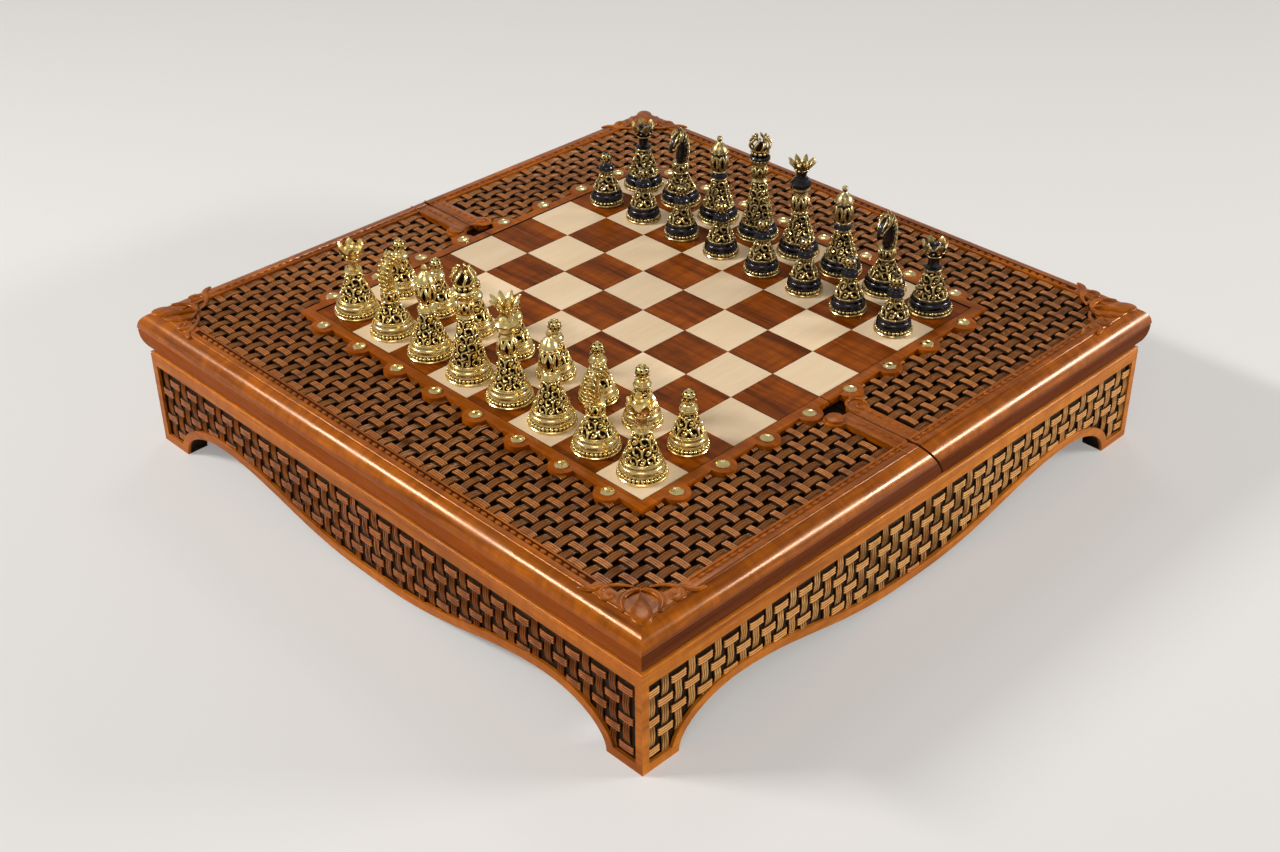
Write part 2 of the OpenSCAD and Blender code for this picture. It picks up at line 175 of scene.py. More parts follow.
def take(*pieces: Piece) -> None:
    """Select only these pieces and make the first one active.

    Args:
        pieces: the pieces to select.
    """
    bpy.ops.object.select_all(action="DESELECT")
    for piece in pieces:
        piece.select_set(True)
    bpy.context.view_layer.objects.active = pieces[0]


@contextmanager
def editing(piece: Piece, whole: bool = False) -> Iterator[None]:
    """Open a piece in edit mode, with all of it or nothing selected, and close it afterwards.

    Args:
        piece: the piece to open.
        whole: whether all of it is selected.

    Yields:
        Control, while the piece is open.
    """
    take(piece)
    bpy.ops.object.mode_set(mode="EDIT")
    bpy.ops.mesh.select_all(action="SELECT" if whole else "DESELECT")
    yield
    bpy.ops.object.mode_set(mode="OBJECT")


def pick(piece: Piece, kind: str, test: Callable[..., bool]) -> None:
    """Select the corners or faces of a piece in edit mode that pass a test.

    Args:
        piece: the piece in edit mode.
        kind: "verts" or "faces".
        test: tells whether one of them is wanted.
    """
    bpy.ops.mesh.select_mode(type="VERT" if kind == "verts" else "FACE")
    bpy.ops.mesh.select_all(action="DESELECT")
    mesh = bmesh.from_edit_mesh(piece.data)
    for part in getattr(mesh, kind):
        part.select_set(bool(test(part)))
    mesh.select_flush_mode()
    bmesh.update_edit_mesh(piece.data)


def extrude(way: Spot | Vector) -> None:
    """Extrude what is selected along a way, in metres."""
    bpy.ops.mesh.extrude_region_move(TRANSFORM_OT_translate={"value": way})


def named(piece: Piece, name: str) -> Piece:
    """Give a piece and its mesh a name."""
    piece.name = piece.data.name = name
    return piece


def fresh(name: str) -> Piece:
    """Name the piece that was added last."""
    return named(bpy.context.active_object, name)


def join(name: str, parts: Sequence[Piece]) -> Piece:
    """Join parts into one named piece, which the first of them takes in.

    Args:
        name: the name of the joined piece.
        parts: the parts.

    Returns:
        The joined piece.
    """
    take(*parts)
    if len(parts) > 1:
        bpy.ops.object.join()
    return named(bpy.context.view_layer.objects.active, name)


def copied(source: Piece, place: Matrix) -> Piece:
    """Copy a piece, with its own mesh, to a place.

    Args:
        source: the piece to copy.
        place: where its mesh goes.

    Returns:
        The copy.
    """
    mesh = source.data.copy()
    mesh.transform(place)
    return linked(source.name, mesh)


def repeated(name: str, source: Piece, places: Sequence[Matrix]) -> Piece:
    """Copy a finished shape to many places, join the copies and drop the first shape.

    Args:
        name: the name of the joined copies.
        source: the shape, which is used up.
        places: where its copies go.

    Returns:
        The copies as one piece.
    """
    copies = [copied(source, place) for place in places]
    bpy.data.objects.remove(source)
    return join(name, copies)


def outward(piece: Piece, merge: float = 1e-6) -> Piece:
    """Merge doubled corners and turn every face outwards.

    Args:
        piece: the piece.
        merge: how near doubled corners lie, in metres.

    Returns:
        The same piece.
    """
    with editing(piece, True):
        bpy.ops.mesh.remove_doubles(threshold=merge)
        bpy.ops.mesh.normals_make_consistent(inside=False)
    return piece


def smoothed(piece: Piece, degrees: float) -> Piece:
    """Shade a piece smooth, with edges sharper than an angle left crisp.

    Args:
        piece: the piece.
        degrees: the angle from which an edge stays crisp.

    Returns:
        The same piece.
    """
    take(piece)
    bpy.ops.object.shade_smooth_by_angle(angle=math.radians(degrees))
    return piece


def apply_modifier(piece: Piece, kind: str, **settings: object) -> None:
    """Add a modifier with these settings and apply it.

    Args:
        piece: the piece.
        kind: the modifier's type.
        settings: its properties.
    """
    take(piece)
    modifier = piece.modifiers.new(kind.title(), kind)
    for key, value in settings.items():
        setattr(modifier, key, value)
    bpy.ops.object.modifier_apply(modifier=modifier.name)


def outline(name: str, points: Sequence[Spot]) -> Piece:
    """Draw a flat face by moving the corners of a disc to an outline in metres.

    Args:
        name: the name of the face.
        points: its corners, in metres.

    Returns:
        The face, in a piece of its own.
    """
    bpy.ops.mesh.primitive_circle_add(vertices=len(points), radius=1, fill_type="NGON")
    piece = fresh(name)
    for corner, point in zip(piece.data.vertices, points):
        corner.co = point
    return piece


def drawn_out(piece: Piece, way: Spot) -> Piece:
    """Extrude all of a flat face along a way into a solid.

    Args:
        piece: the flat face.
        way: how far and where to, in metres.

    Returns:
        The same piece, now solid.
    """
    with editing(piece, True):
        extrude(way)
    return outward(piece)


def sliced(piece: Piece, point: Spot, normal: Spot) -> Piece:
    """Cut off what lies beyond a plane and close the cut.

    Args:
        piece: the piece.
        point: a point of the plane, in metres.
        normal: the side to cut off.

    Returns:
        The same piece.
    """
    with editing(piece, True):
        bpy.ops.mesh.bisect(plane_co=point, plane_no=normal, clear_outer=True, use_fill=True)
    return piece


def turned(name: str, points: Sequence[Flat], steps: int) -> Piece:
    """Turn a profile about the upright axis, as on a lathe.

    Args:
        name: the name of the piece.
        points: (radius, height) in millimetres, from the axis below to the axis above.
        steps: faces round the axis.

    Returns:
        The closed turned piece.
    """
    bpy.ops.mesh.primitive_plane_add(size=MM)
    piece = fresh(name)
    with editing(piece):
        pick(piece, "verts", lambda corner: corner.index != 0)
        bpy.ops.mesh.delete(type="VERT")
        mesh = bmesh.from_edit_mesh(piece.data)
        mesh.verts.ensure_lookup_table()
        here = Vector((points[0][0] * MM, 0, points[0][1] * MM))
        mesh.verts[0].co = here
        mesh.verts[0].select_set(True)
        bmesh.update_edit_mesh(piece.data)
        for radius, height in points[1:]:
            there = Vector((radius * MM, 0, height * MM))
            extrude(there - here)
            here = there
        bpy.ops.mesh.select_all(action="SELECT")
        bpy.ops.mesh.spin(steps=steps, angle=math.tau, center=(0, 0, 0), axis=(0, 0, 1))
    return outward(piece)


def lofted(name: str, rings: Sequence[Sequence[Vector]]) -> Piece:
    """Extrude a flat ring again and again, each time to the next ring.

    Args:
        name: the name of the piece.
        rings: the rings' corners in metres, all with the same count and in the same order.

    Returns:
        The closed solid.
    """
    piece = outline(name, rings[0])
    with editing(piece, True):
        for before, after in zip(rings, rings[1:]):
            extrude((0, 0, 0))
            mesh = bmesh.from_edit_mesh(piece.data)
            for corner in mesh.verts:
                if corner.select:
                    near = min(range(len(before)), key=lambda index: (before[index] - corner.co).length)
                    corner.co = after[near]
            bmesh.update_edit_mesh(piece.data)
    return outward(piece)


def tubes(name: str, lines: Sequence[Sequence[Spot]], radius: float, ends: float, sides: int = 1) -> Piece:
    """Make round strands that thin out towards their ends.

    Args:
        name: the name of the piece.
        lines: the points of each strand, in metres.
        radius: the strand's radius at its middle, in millimetres.
        ends: the share of that radius left at the ends.
        sides: the bevel resolution, where 1 gives six sides.

    Returns:
        The strands as one mesh.
    """
    curve = bpy.data.curves.new(name, "CURVE")
    curve.dimensions = "3D"
    curve.bevel_depth, curve.bevel_resolution = radius * MM, sides
    curve.use_fill_caps = True
    for line in lines:
        spline = curve.splines.new("POLY")
        last = len(line) - 1
        spline.points.add(last)
        for index, (point, spot) in enumerate(zip(spline.points, line)):
            point.co = (*spot, 1)
            point.radius = ends + (1 - ends) * abs(math.sin(math.pi * index / last)) ** 0.6
    take(linked(name, curve))
    bpy.ops.object.convert(target="MESH")
    return smoothed(outward(fresh(name), 1e-7), 60)


def rounded(points: Sequence[Flat], rounds: int = 2) -> list[Flat]:
    """Round the corners of an open line by cutting them again and again.

    Args:
        points: the line's corners.
        rounds: how often they are cut.

    Returns:
        The points of the rounder line.
    """
    line = list(points)
    for _ in range(rounds):
        cut = [line[0]]
        for (ax, ay), (bx, by) in zip(line, line[1:]):
            cut += [(ax * s + bx * (1 - s), ay * s + by * (1 - s)) for s in (0.75, 0.25)]
        line = cut + [line[-1]]
    return line


# ---- finishes ----


def tone(red: int, green: int, blue: int) -> Colour:
    """Turn a colour given in screen steps of 0 to 255 into a linear one."""
    shares = (step / 255 for step in (red, green, blue))
    return (*(s / 12.92 if s <= 0.04045 else ((s + 0.055) / 1.055) ** 2.4 for s in shares), 1.0)


class Graph:
    """A node tree with short ways to add and join nodes."""

    def __init__(self, tree: Tree) -> None:
        """Keep the tree to add to."""
        self.tree = tree

    def feed(self, node: Node, inputs: dict) -> Node:
        """Link or set a node's inputs, given by name or index.

        Args:
            node: the node.
            inputs: a value or a socket for each input.

        Returns:
            The same node.
        """
        for key, value in inputs.items():
            if isinstance(value, Socket):
                self.tree.links.new(value, node.inputs[key])
            else:
                node.inputs[key].default_value = value
        return node

    def add(self, kind: str, inputs: dict | None = None, **settings: object) -> Node:
        """Add a node.

        Args:
            kind: the node's type, without its ShaderNode prefix.
            inputs: values or sockets for its inputs.
            settings: its own properties, which are set first.

        Returns:
            The node.
        """
        node = self.tree.nodes.new("ShaderNode" + kind)
        for key, value in settings.items():
            setattr(node, key, value)
        return self.feed(node, inputs or {})

    def math(self, operation: str, *values: float | Socket) -> Socket:
        """A sum on numbers."""
        return self.add("Math", dict(enumerate(values)), operation=operation).outputs[0]

    def times(self, a: float | Socket, b: float | Socket) -> Socket:
        """The product of two numbers."""
        return self.math("MULTIPLY", a, b)

    def vector(self, operation: str, inputs: dict) -> Socket:
        """A sum on vectors."""
        return self.add("VectorMath", inputs, operation=operation).outputs[0]

    def mix(self, share: float | Socket, a: Colour | Socket, b: Colour | Socket,
            blend: str = "MIX") -> Socket:
        """Mix two colours."""
        return self.add("Mix", {0: share, 6: a, 7: b}, data_type="RGBA", blend_type=blend).outputs[2]

    def spread(self, value: Socket, low: float | Socket, high: float | Socket,
               to_low: float = 0.0, to_high: float = 1.0) -> Socket:
        """Spread a range of a value onto another range, clamped."""
        return self.add("MapRange", {0: value, 1: low, 2: high, 3: to_low, 4: to_high}).outputs[0]

    def noise(self, vector: Socket, scale: float, detail: float = 4, rough: float = 0.5,
              twist: float = 0.0) -> Socket:
        """A noise value at a vector."""
        return self.add("TexNoise", {"Vector": vector, "Scale": scale, "Detail": detail,
                                     "Roughness": rough, "Distortion": twist}).outputs[0]

    def stretch(self, vector: Socket, scale: Spot) -> Socket:
        """Scale a vector along its axes."""
        return self.add("Mapping", {"Vector": vector, "Scale": scale}).outputs[0]

    def bump(self, height: Socket, strength: float, distance: float) -> Socket:
        """A normal that follows a height, with its full depth in metres."""
        return self.add("Bump", {"Height": height, "Strength": strength, "Distance": distance}).outputs[0]


def new_group(name: str, inputs: dict[str, str], outputs: dict[str, str]
              ) -> tuple[Graph, bpy.types.NodeOutputs, Node]:
    """Start a shader node group.

    Args:
        name: the group's name.
        inputs: socket name to its kind: Float, Vector or Color.
        outputs: the same for what it puts out.

    Returns:
        A graph on its tree, what it is given and its output node.
    """
    tree = bpy.data.node_groups.new(name, "ShaderNodeTree")
    for side, sockets in (("INPUT", inputs), ("OUTPUT", outputs)):
        for socket, kind in sockets.items():
            tree.interface.new_socket(socket, in_out=side, socket_type=f"NodeSocket{kind}")
    return Graph(tree), tree.nodes.new("NodeGroupInput").outputs, tree.nodes.new("NodeGroupOutput")


def grain_group() -> Tree:
    """Wood grain on a vector stretched along the grain: its figure, its pores and its curl.

    Returns:
        The group's tree.
    """
    graph, given, out = new_group(
        "Grain", {"Vector": "Vector", "Curled": "Vector", "Streak": "Float"},
        {"Figure": "Float", "Pores": "Float", "Curl": "Float"})
    vector = given["Vector"]
    broad = graph.noise(vector, 1.0, 3, 0.55, 0.6)
    fine = graph.noise(vector, 5.5, 5, 0.6, 0.2)
    pores = graph.noise(vector, 22.0, 2, 0.6)
    curl = graph.noise(given["Curled"], 1.0, 3, 0.5, 0.4)
    body = graph.math("ADD", graph.times(broad, 0.62), graph.times(fine, 0.38))
    sharper = graph.times(graph.math("SUBTRACT", body, 0.5), given["Streak"])
    figure = graph.add("Clamp", {0: graph.math("ADD", sharper, 0.5)}).outputs[0]
    graph.feed(out, {"Figure": figure, "Pores": graph.spread(pores, 0.52, 0.68),
                     "Curl": graph.spread(curl, 0.36, 0.64)})
    return graph.tree


def veneer_group() -> Tree:
    """Splits a surface into square veneers, each with grain and shade of its own.

    Returns:
        The group's tree.
    """
    graph, given, out = new_group(
        "Veneer", {"Vector": "Vector", "Cell": "Float"}, {"Vector": "Vector", "Shade": "Float"})
    cell = graph.add("CombineXYZ", {0: given["Cell"], 1: given["Cell"], 2: 1.0}).outputs[0]
    floor = graph.vector("FLOOR", {0: graph.vector("DIVIDE", {0: given["Vector"], 1: cell})})
    draw = graph.add("TexWhiteNoise", {"Vector": floor}, noise_dimensions="3D").outputs
    push = graph.vector("SCALE", {0: draw["Color"], "Scale": 3.0})
    graph.feed(out, {"Vector": graph.vector("ADD", {0: given["Vector"], 1: push}),
                     "Shade": draw["Value"]})
    return graph.tree


def recess_group() -> Tree:
    """Tells how deep a point lies, from 1 in the deep to 0 at the surface: upwards or sideways.

    Returns:
        The group's tree.
    """
    graph, given, out = new_group(
        "Recess", {"Vector": "Vector", "Sideways": "Float", "Deep": "Float", "Surface": "Float"},
        {"Mask": "Float"})
    split = graph.add("SeparateXYZ", {0: given["Vector"]}).outputs
    across = graph.math("MAXIMUM", graph.math("ABSOLUTE", split[0]), graph.math("ABSOLUTE", split[1]))
    level = graph.math("MULTIPLY_ADD", graph.math("SUBTRACT", across, split[2]), given["Sideways"],
                       split[2])
    graph.feed(out, {"Mask": graph.spread(level, given["Deep"], given["Surface"], 1.0, 0.0)})
    return graph.tree


def wear_group() -> Tree:
    """Handling marks: soft patches where polish is thinner.

    Returns:
        The group's tree.
    """
    graph, given, out = new_group("Handling", {"Vector": "Vector", "Amount": "Float"}, {"Rough": "Float"})
    patch = graph.spread(graph.noise(given["Vector"], 14.0, 4, 0.6), 0.42, 0.72)
    graph.feed(out, {"Rough": graph.times(patch, given["Amount"])})
    return graph.tree


GROUPS = {"grain": grain_group(), "veneer": veneer_group(), "recess": recess_group(), "wear": wear_group()}


@dataclass(frozen=True)
class Finish:
    """A named finish whose pattern follows the object's own coordinates."""

    name: str

    def paint(self, graph: Graph, place: Socket) -> dict:
        """The inputs of the shader; each finish has its own."""
        raise NotImplementedError

    def build(self) -> Material:
        """Make the material.

        Returns:
            The material.
        """
        material = bpy.data.materials.new(self.name)
        material.use_nodes = True
        graph = Graph(material.node_tree)
        place = graph.add("TexCoord").outputs["Object"]
        graph.feed(graph.tree.nodes["Principled BSDF"], self.paint(graph, place))
        return material


@dataclass(frozen=True)
class Recess:
    """Where a wood is darkened in its depths: painted shade in the hollows of the carving, painted shade
    and dark reflection low on the rims, and a dark line along the band's inner edge; the axis and the two
    levels, in metres.
    """

    sideways: bool
    deep: float
    surface: float
    stain: Colour = tone(12, 6, 3)


class Along(Enum):
    """The way a board's grain runs, as its stretch along X, Y and Z."""

    X = (5.0, 70.0, 70.0)
    Y = (70.0, 5.0, 70.0)
    Z = (70.0, 70.0, 5.0)

    @property
    def curled(self) -> Spot:
        """The stretch of the ripples that cross the grain."""
        return tuple(130.0 if step < 10 else 22.0 for step in self.value)


@dataclass(frozen=True)
class Wood(Finish):
    """A wood finish: two shades of grain under a rubbed polish."""

    light: Colour
    dark: Colour
    along: Along = Along.X
    streak: float = 2.2
    rough: float = 0.34
    gloss: float = 0.35
    bump: float = 0.12
    cell: float = 0.0
    recess: Recess | None = None
    grooved: bool = False
    curl: float = 0.0
    pores: float = 0.35
    wear: float = 0.16
    coat_share: float = 0.2
    recess_dulls: float = 0.15
    recess_bares: float = 0.9
    tint: Colour = tone(255, 196, 140)

    def group(self, graph: Graph, name: str, inputs: dict) -> bpy.types.NodeOutputs:
        """Place one of the shared groups, whose sockets exist only once its tree is set."""
        return graph.add("Group", inputs, node_tree=GROUPS[name]).outputs

    def paint(self, graph: Graph, place: Socket) -> dict:
        """Grain, veneers, wear and a darkening of the recesses, which is painted shade except on the band,
        where it draws a dark line.

        Args:
            graph: the material's graph.
            place: the object's own coordinates.

        Returns:
            The inputs of the shader.
        """
        vector, shade = place, None
        if self.cell:
            veneer = self.group(graph, "veneer", {"Vector": place, "Cell": self.cell})
            vector, shade = veneer["Vector"], veneer["Shade"]
        grain = self.group(graph, "grain", {
            "Vector": graph.stretch(vector, self.along.value), "Streak": self.streak,
            "Curled": graph.stretch(vector, self.along.curled)})
        colour = graph.mix(grain["Figure"], self.dark, self.light)
        for dark, share in (("Curl", self.curl), ("Pores", self.pores)):
            colour = graph.mix(graph.times(grain[dark], share), colour, self.dark)
        if shade is not None:
            level = graph.spread(shade, 0.0, 1.0, 0.86, 1.1)
            grey = graph.add("CombineColor", {0: level, 1: level, 2: level}).outputs[0]
            colour = graph.mix(1.0, colour, grey, "MULTIPLY")
        wear = self.group(graph, "wear", {"Vector": place, "Amount": self.wear})
        rough = graph.math("ADD", wear["Rough"], self.rough)
        coat = self.gloss * self.coat_share
        # Painted shade: the deeper a point lies, and on grooved bars the deeper in its grooves, the nearer
        # its colour goes to the dark deep colour; on the band this gives a dark line along its inner edge.
        if self.recess:
            mask = self.group(graph, "recess", {
                "Vector": place, "Sideways": float(self.recess.sideways),
                "Deep": self.recess.deep, "Surface": self.recess.surface})["Mask"]
            if self.grooved:
                cut = graph.add("Attribute", attribute_name=GROOVE).outputs["Fac"]
                mask = graph.math("MAXIMUM", mask, graph.spread(cut, 0.3, 0.85))
            colour = graph.mix(mask, colour, self.recess.stain)
            rough = graph.math("MULTIPLY_ADD", mask, self.recess_dulls, rough)
            coat = graph.math("MULTIPLY_ADD", mask, -self.recess_bares * coat, coat)
        height = graph.math("SUBTRACT", grain["Figure"], grain["Pores"])
        return {"Base Color": colour, "Roughness": rough, "Normal": graph.bump(height, self.bump, 0.0004),
                "Coat Weight": coat, "Coat Roughness": 0.2, "Specular IOR Level": 0.06 + self.gloss,
                "Specular Tint": self.tint}


@dataclass(frozen=True)
class Brass(Finish):
    """A metal finish: polished high spots over a duller, darker patina."""

    bright: Colour
    dull: Colour
    rough: float
    patina: float

    def paint(self, graph: Graph, place: Socket) -> dict:
        """Metal with mottled tone and gloss.

        Args:
            graph: the material's graph.
            place: the object's own coordinates.

        Returns:
            The inputs of the shader.
        """
        cloud = graph.spread(graph.noise(place, 320.0, 4, 0.6), 0.4, 0.68)
        share = graph.times(cloud, self.patina)
        return {"Base Color": graph.mix(share, self.bright, self.dull), "Metallic": 1.0,
                "Roughness": graph.math("MULTIPLY_ADD", share, 0.35, self.rough),
                "Normal": graph.bump(graph.noise(place, 1400.0, 2, 0.5), 0.1, 0.0002)}


@dataclass(frozen=True)
class Felt(Finish):
    """A napped felt finish."""

    nap: Colour
    deep: Colour

    def paint(self, graph: Graph, place: Socket) -> dict:
        """Dull fibres in soft clouds.

        Args:
            graph: the material's graph.
            place: the object's own coordinates.

        Returns:
            The inputs of the shader.
        """
        fibre, cloud = graph.noise(place, 900.0, 5, 0.7, 1.5), graph.noise(place, 30.0, 3)
        share = graph.times(graph.math("ADD", fibre, cloud), 0.5)
        return {"Base Color": graph.mix(share, self.deep, self.nap), "Roughness": 0.95,
                "Normal": graph.bump(fibre, 0.4, 0.0005), "Sheen Weight": 0.3}


@dataclass
class Palette:
    """All the finishes of the box, made once."""

    made: dict[str, Material] = field(default_factory=dict)

    def woods(self) -> list[Wood]:
        """The woods of the case; an _x or _y at the end of a name tells the side or the grain. The _y apron
        woods and carved bars are lit copies of the _x ones, painted lighter, and the _y rims are painted
        darker as shade and dark reflection.

        Returns:
            The wood finishes.
        """
        ways = (("x", Along.X), ("y", Along.Y))
        rim = {"streak": 3.4, "rough": 0.19, "gloss": 0.36, "bump": 0.05, "curl": 0.5}
        under = {"streak": 3.4, "rough": 0.5, "gloss": 0.02, "bump": 0.05}
        oak = {"streak": 3.0, "rough": 0.3, "gloss": 0.25, "bump": 0.16, "curl": 0.35}
        # Carved apron bars: their ends and grooves darken as painted shade.
        bar = {"streak": 2.8, "rough": 0.18, "gloss": 0.9, "grooved": True,
               "recess": Recess(True, 0.2736, 0.2748)}
        # Painted shade and dark reflection on the rims' lower nose, darker on the left and right rails.
        rim_low_shades = {"x": tone(146, 68, 4), "y": tone(102, 44, 4)}
        # Darker matt wood for the rims' underside, painted as shade and dark reflection, darkest on the
        # left and right rails.
        under_shades = {"x": (tone(158, 76, 8), tone(122, 54, 2)), "y": (tone(112, 50, 8), tone(84, 34, 2))}
        # The left and right aprons' wood and carved bars are painted lighter than the front and rear ones,
        # as the light that falls on those sides.
        oaks = {"x": (tone(204, 114, 18), tone(134, 64, 2)), "y": (tone(224, 136, 38), tone(150, 78, 8))}
        bars = {"x": (tone(206, 112, 34), tone(118, 50, 4)), "y": (tone(255, 198, 118), tone(216, 136, 62))}
        woods = []
        for side, along in ways:
            woods += [
                # Below the nose's highlight the rim wood darkens, as painted shade and dark reflection.
                Wood(f"rim_wood_{side}", tone(196, 104, 4), tone(104, 46, 0), along,
                     recess=Recess(False, 0.1030, 0.1080, rim_low_shades[side]), **rim),
                Wood(f"rim_under_{side}", *under_shades[side], along, **under),
                # The sunk field behind the apron's strands darkens to near black as painted shade.
                Wood(f"base_wood_{side}", *oaks[side], along, recess=Recess(True, 0.2734, 0.2737), **oak),
                Wood(f"side_across_{side}", *bars[side], along, **bar),
                Wood(f"side_upright_{side}", *bars[side], Along.Z, **bar),
            ]
        inner = tone(206, 150, 92), tone(168, 108, 58)
        return woods + [
            Wood("inner_wood", *inner, Along.X, streak=2.0, rough=0.5, gloss=0.0),
            Wood("inner_wood_y", *inner, Along.Y, streak=2.0, rough=0.5, gloss=0.0),
            Wood("rim_shadow", tone(92, 40, 6), tone(48, 18, 0), streak=2.0, rough=0.5, gloss=0.0),
            # A near-black plate under the top weave: painted shade at the bottom of its hollows.
            Wood("weave_ground", tone(14, 7, 4), tone(7, 4, 2), streak=2.0, rough=0.7, gloss=0.0),
            # The top weave's bars darken towards their feet and in their grooves, as painted shade.
            Wood("top_weave", tone(214, 132, 56), tone(118, 56, 14), Along.Y, streak=2.8, rough=0.2,
                 gloss=0.75, recess=Recess(False, 0.1152, 0.1170), grooved=True),
            Wood("light_square", tone(240, 218, 187), tone(223, 194, 155), Along.Y, streak=1.6, rough=0.4,
                 gloss=0.06, bump=0.05, cell=0.045),
            Wood("dark_square", tone(168, 82, 4), tone(76, 28, 0), streak=3.4, rough=0.36, gloss=0.05,
                 bump=0.08, cell=0.045, curl=0.4),
            Wood("band_wood", tone(182, 94, 8), tone(108, 46, 0), streak=2.8, rough=0.3, gloss=0.1,
                 recess=Recess(True, 0.1806, 0.1809), curl=0.3),
        ]

    def make(self) -> None:
        """Build every material."""
        for finish in (
                *self.woods(),
                Brass("gilt", tone(238, 214, 144), tone(150, 118, 58), 0.14, 0.55),
                Brass("old_gilt", tone(208, 182, 124), tone(40, 32, 22), 0.2, 0.95),
                Brass("black_patina", tone(64, 62, 66), tone(20, 18, 18), 0.12, 0.5),
                # Dark metal inside the chessmen's piercings: painted shade.
                Brass("pierced_dark", tone(34, 24, 12), tone(10, 7, 4), 0.6, 0.6),
                Brass("stud_brass", tone(240, 218, 156), tone(156, 124, 66), 0.1, 0.4),
                Felt("green_felt", tone(40, 92, 58), tone(16, 46, 28))):
            self.made[finish.name] = finish.build()

    def dress(self, piece: Piece, name: str) -> Piece:
        """Give a piece one finish on all its faces.

        Args:
            piece: the piece or node.
            name: the name of the finish.

        Returns:
            The same piece.
        """
        piece.data.materials.clear()
        piece.data.materials.append(self.made[name])
        return piece

    def refinish(self, node: str, name: str) -> None:
        """Give a node of the case, which keeps its shape, a finish."""
        self.dress(frame["nodes"][node], name)
        LOG.info("%s finished in %s", node, name)


PALETTE = Palette()


def mount(piece: Piece, body: str, slot: str, *nodes: str, finish: str = "") -> None:
    """Put a finished piece on its body.

    Args:
        piece: the finished piece.
        body: the body that carries it.
        slot: the record's name for its finish; not used.
        nodes: the case's nodes that it replaces.
        finish: its one finish, where it isn't dressed yet.
    """
    if finish:
        PALETTE.dress(piece, finish)
    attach(piece, body)
    if nodes:
        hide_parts(*nodes)
    LOG.info("%s rides %s", piece.name, body)


def lifted(node: str, name: str) -> Piece:
    """Copy a node of the case under a name of its own, not yet on a body."""
    return named(copied(frame["nodes"][node], Matrix.Identity(4)), name)


def softened(node: str, name: str, width: float) -> Piece:
    """Copy a node of the case with its arrises rounded.

    Args:
        node: the node to copy.
        name: the name of the copy.
        width: the width of the rounding, in millimetres.

    Returns:
        The copy, not yet on a body.
    """
    piece = lifted(node, name)
    with editing(piece, True):
        bpy.ops.mesh.remove_doubles(threshold=2e-6)
        bpy.ops.mesh.dissolve_limited(angle_limit=math.radians(0.5))
        bpy.ops.mesh.normals_make_consistent(inside=False)
    apply_modifier(piece, "BEVEL", width=width * MM, segments=2, limit_method="ANGLE",
                   angle_limit=math.radians(50), use_clamp_overlap=True)
    return smoothed(piece, 30)


# ---- the case ----


@dataclass(frozen=True)
class Case:
    """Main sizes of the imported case, in millimetres, read from its nodes."""

    outer: float
    top: float
    lid_low: float
    base: float
    seam_lean: float = math.tan(math.radians(35))
    seam_gap: float = 0.8
    rim_in: float = 259.0
    band: float = 189.0
    board: float = 180.0
    cell: float = 45.0
    stud_out: float = 10.0

    @classmethod
    def measured(cls) -> "Case":
        """Read the sizes from the nodes.

        Returns:
            The case.
        """
        rail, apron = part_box("front_outer_rail"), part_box("front_apron")
        return cls(outer=rail[1].x / MM, top=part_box("front_light_squares")[1].z / MM,
                   lid_low=rail[0].z / MM, base=apron[1].x / MM)

    def stud_spots(self) -> list[Flat]:
        """Centres of the studs round the board.

        Returns:
            Their (x, y) places, in millimetres.
        """
        spots = [quarter_turn(turn) @ Vector(((index - 3.5) * self.cell, -self.board - self.stud_out, 0))
                 for turn in range(4) for index in range(8)]
        return [(spot.x, spot.y) for spot in spots]


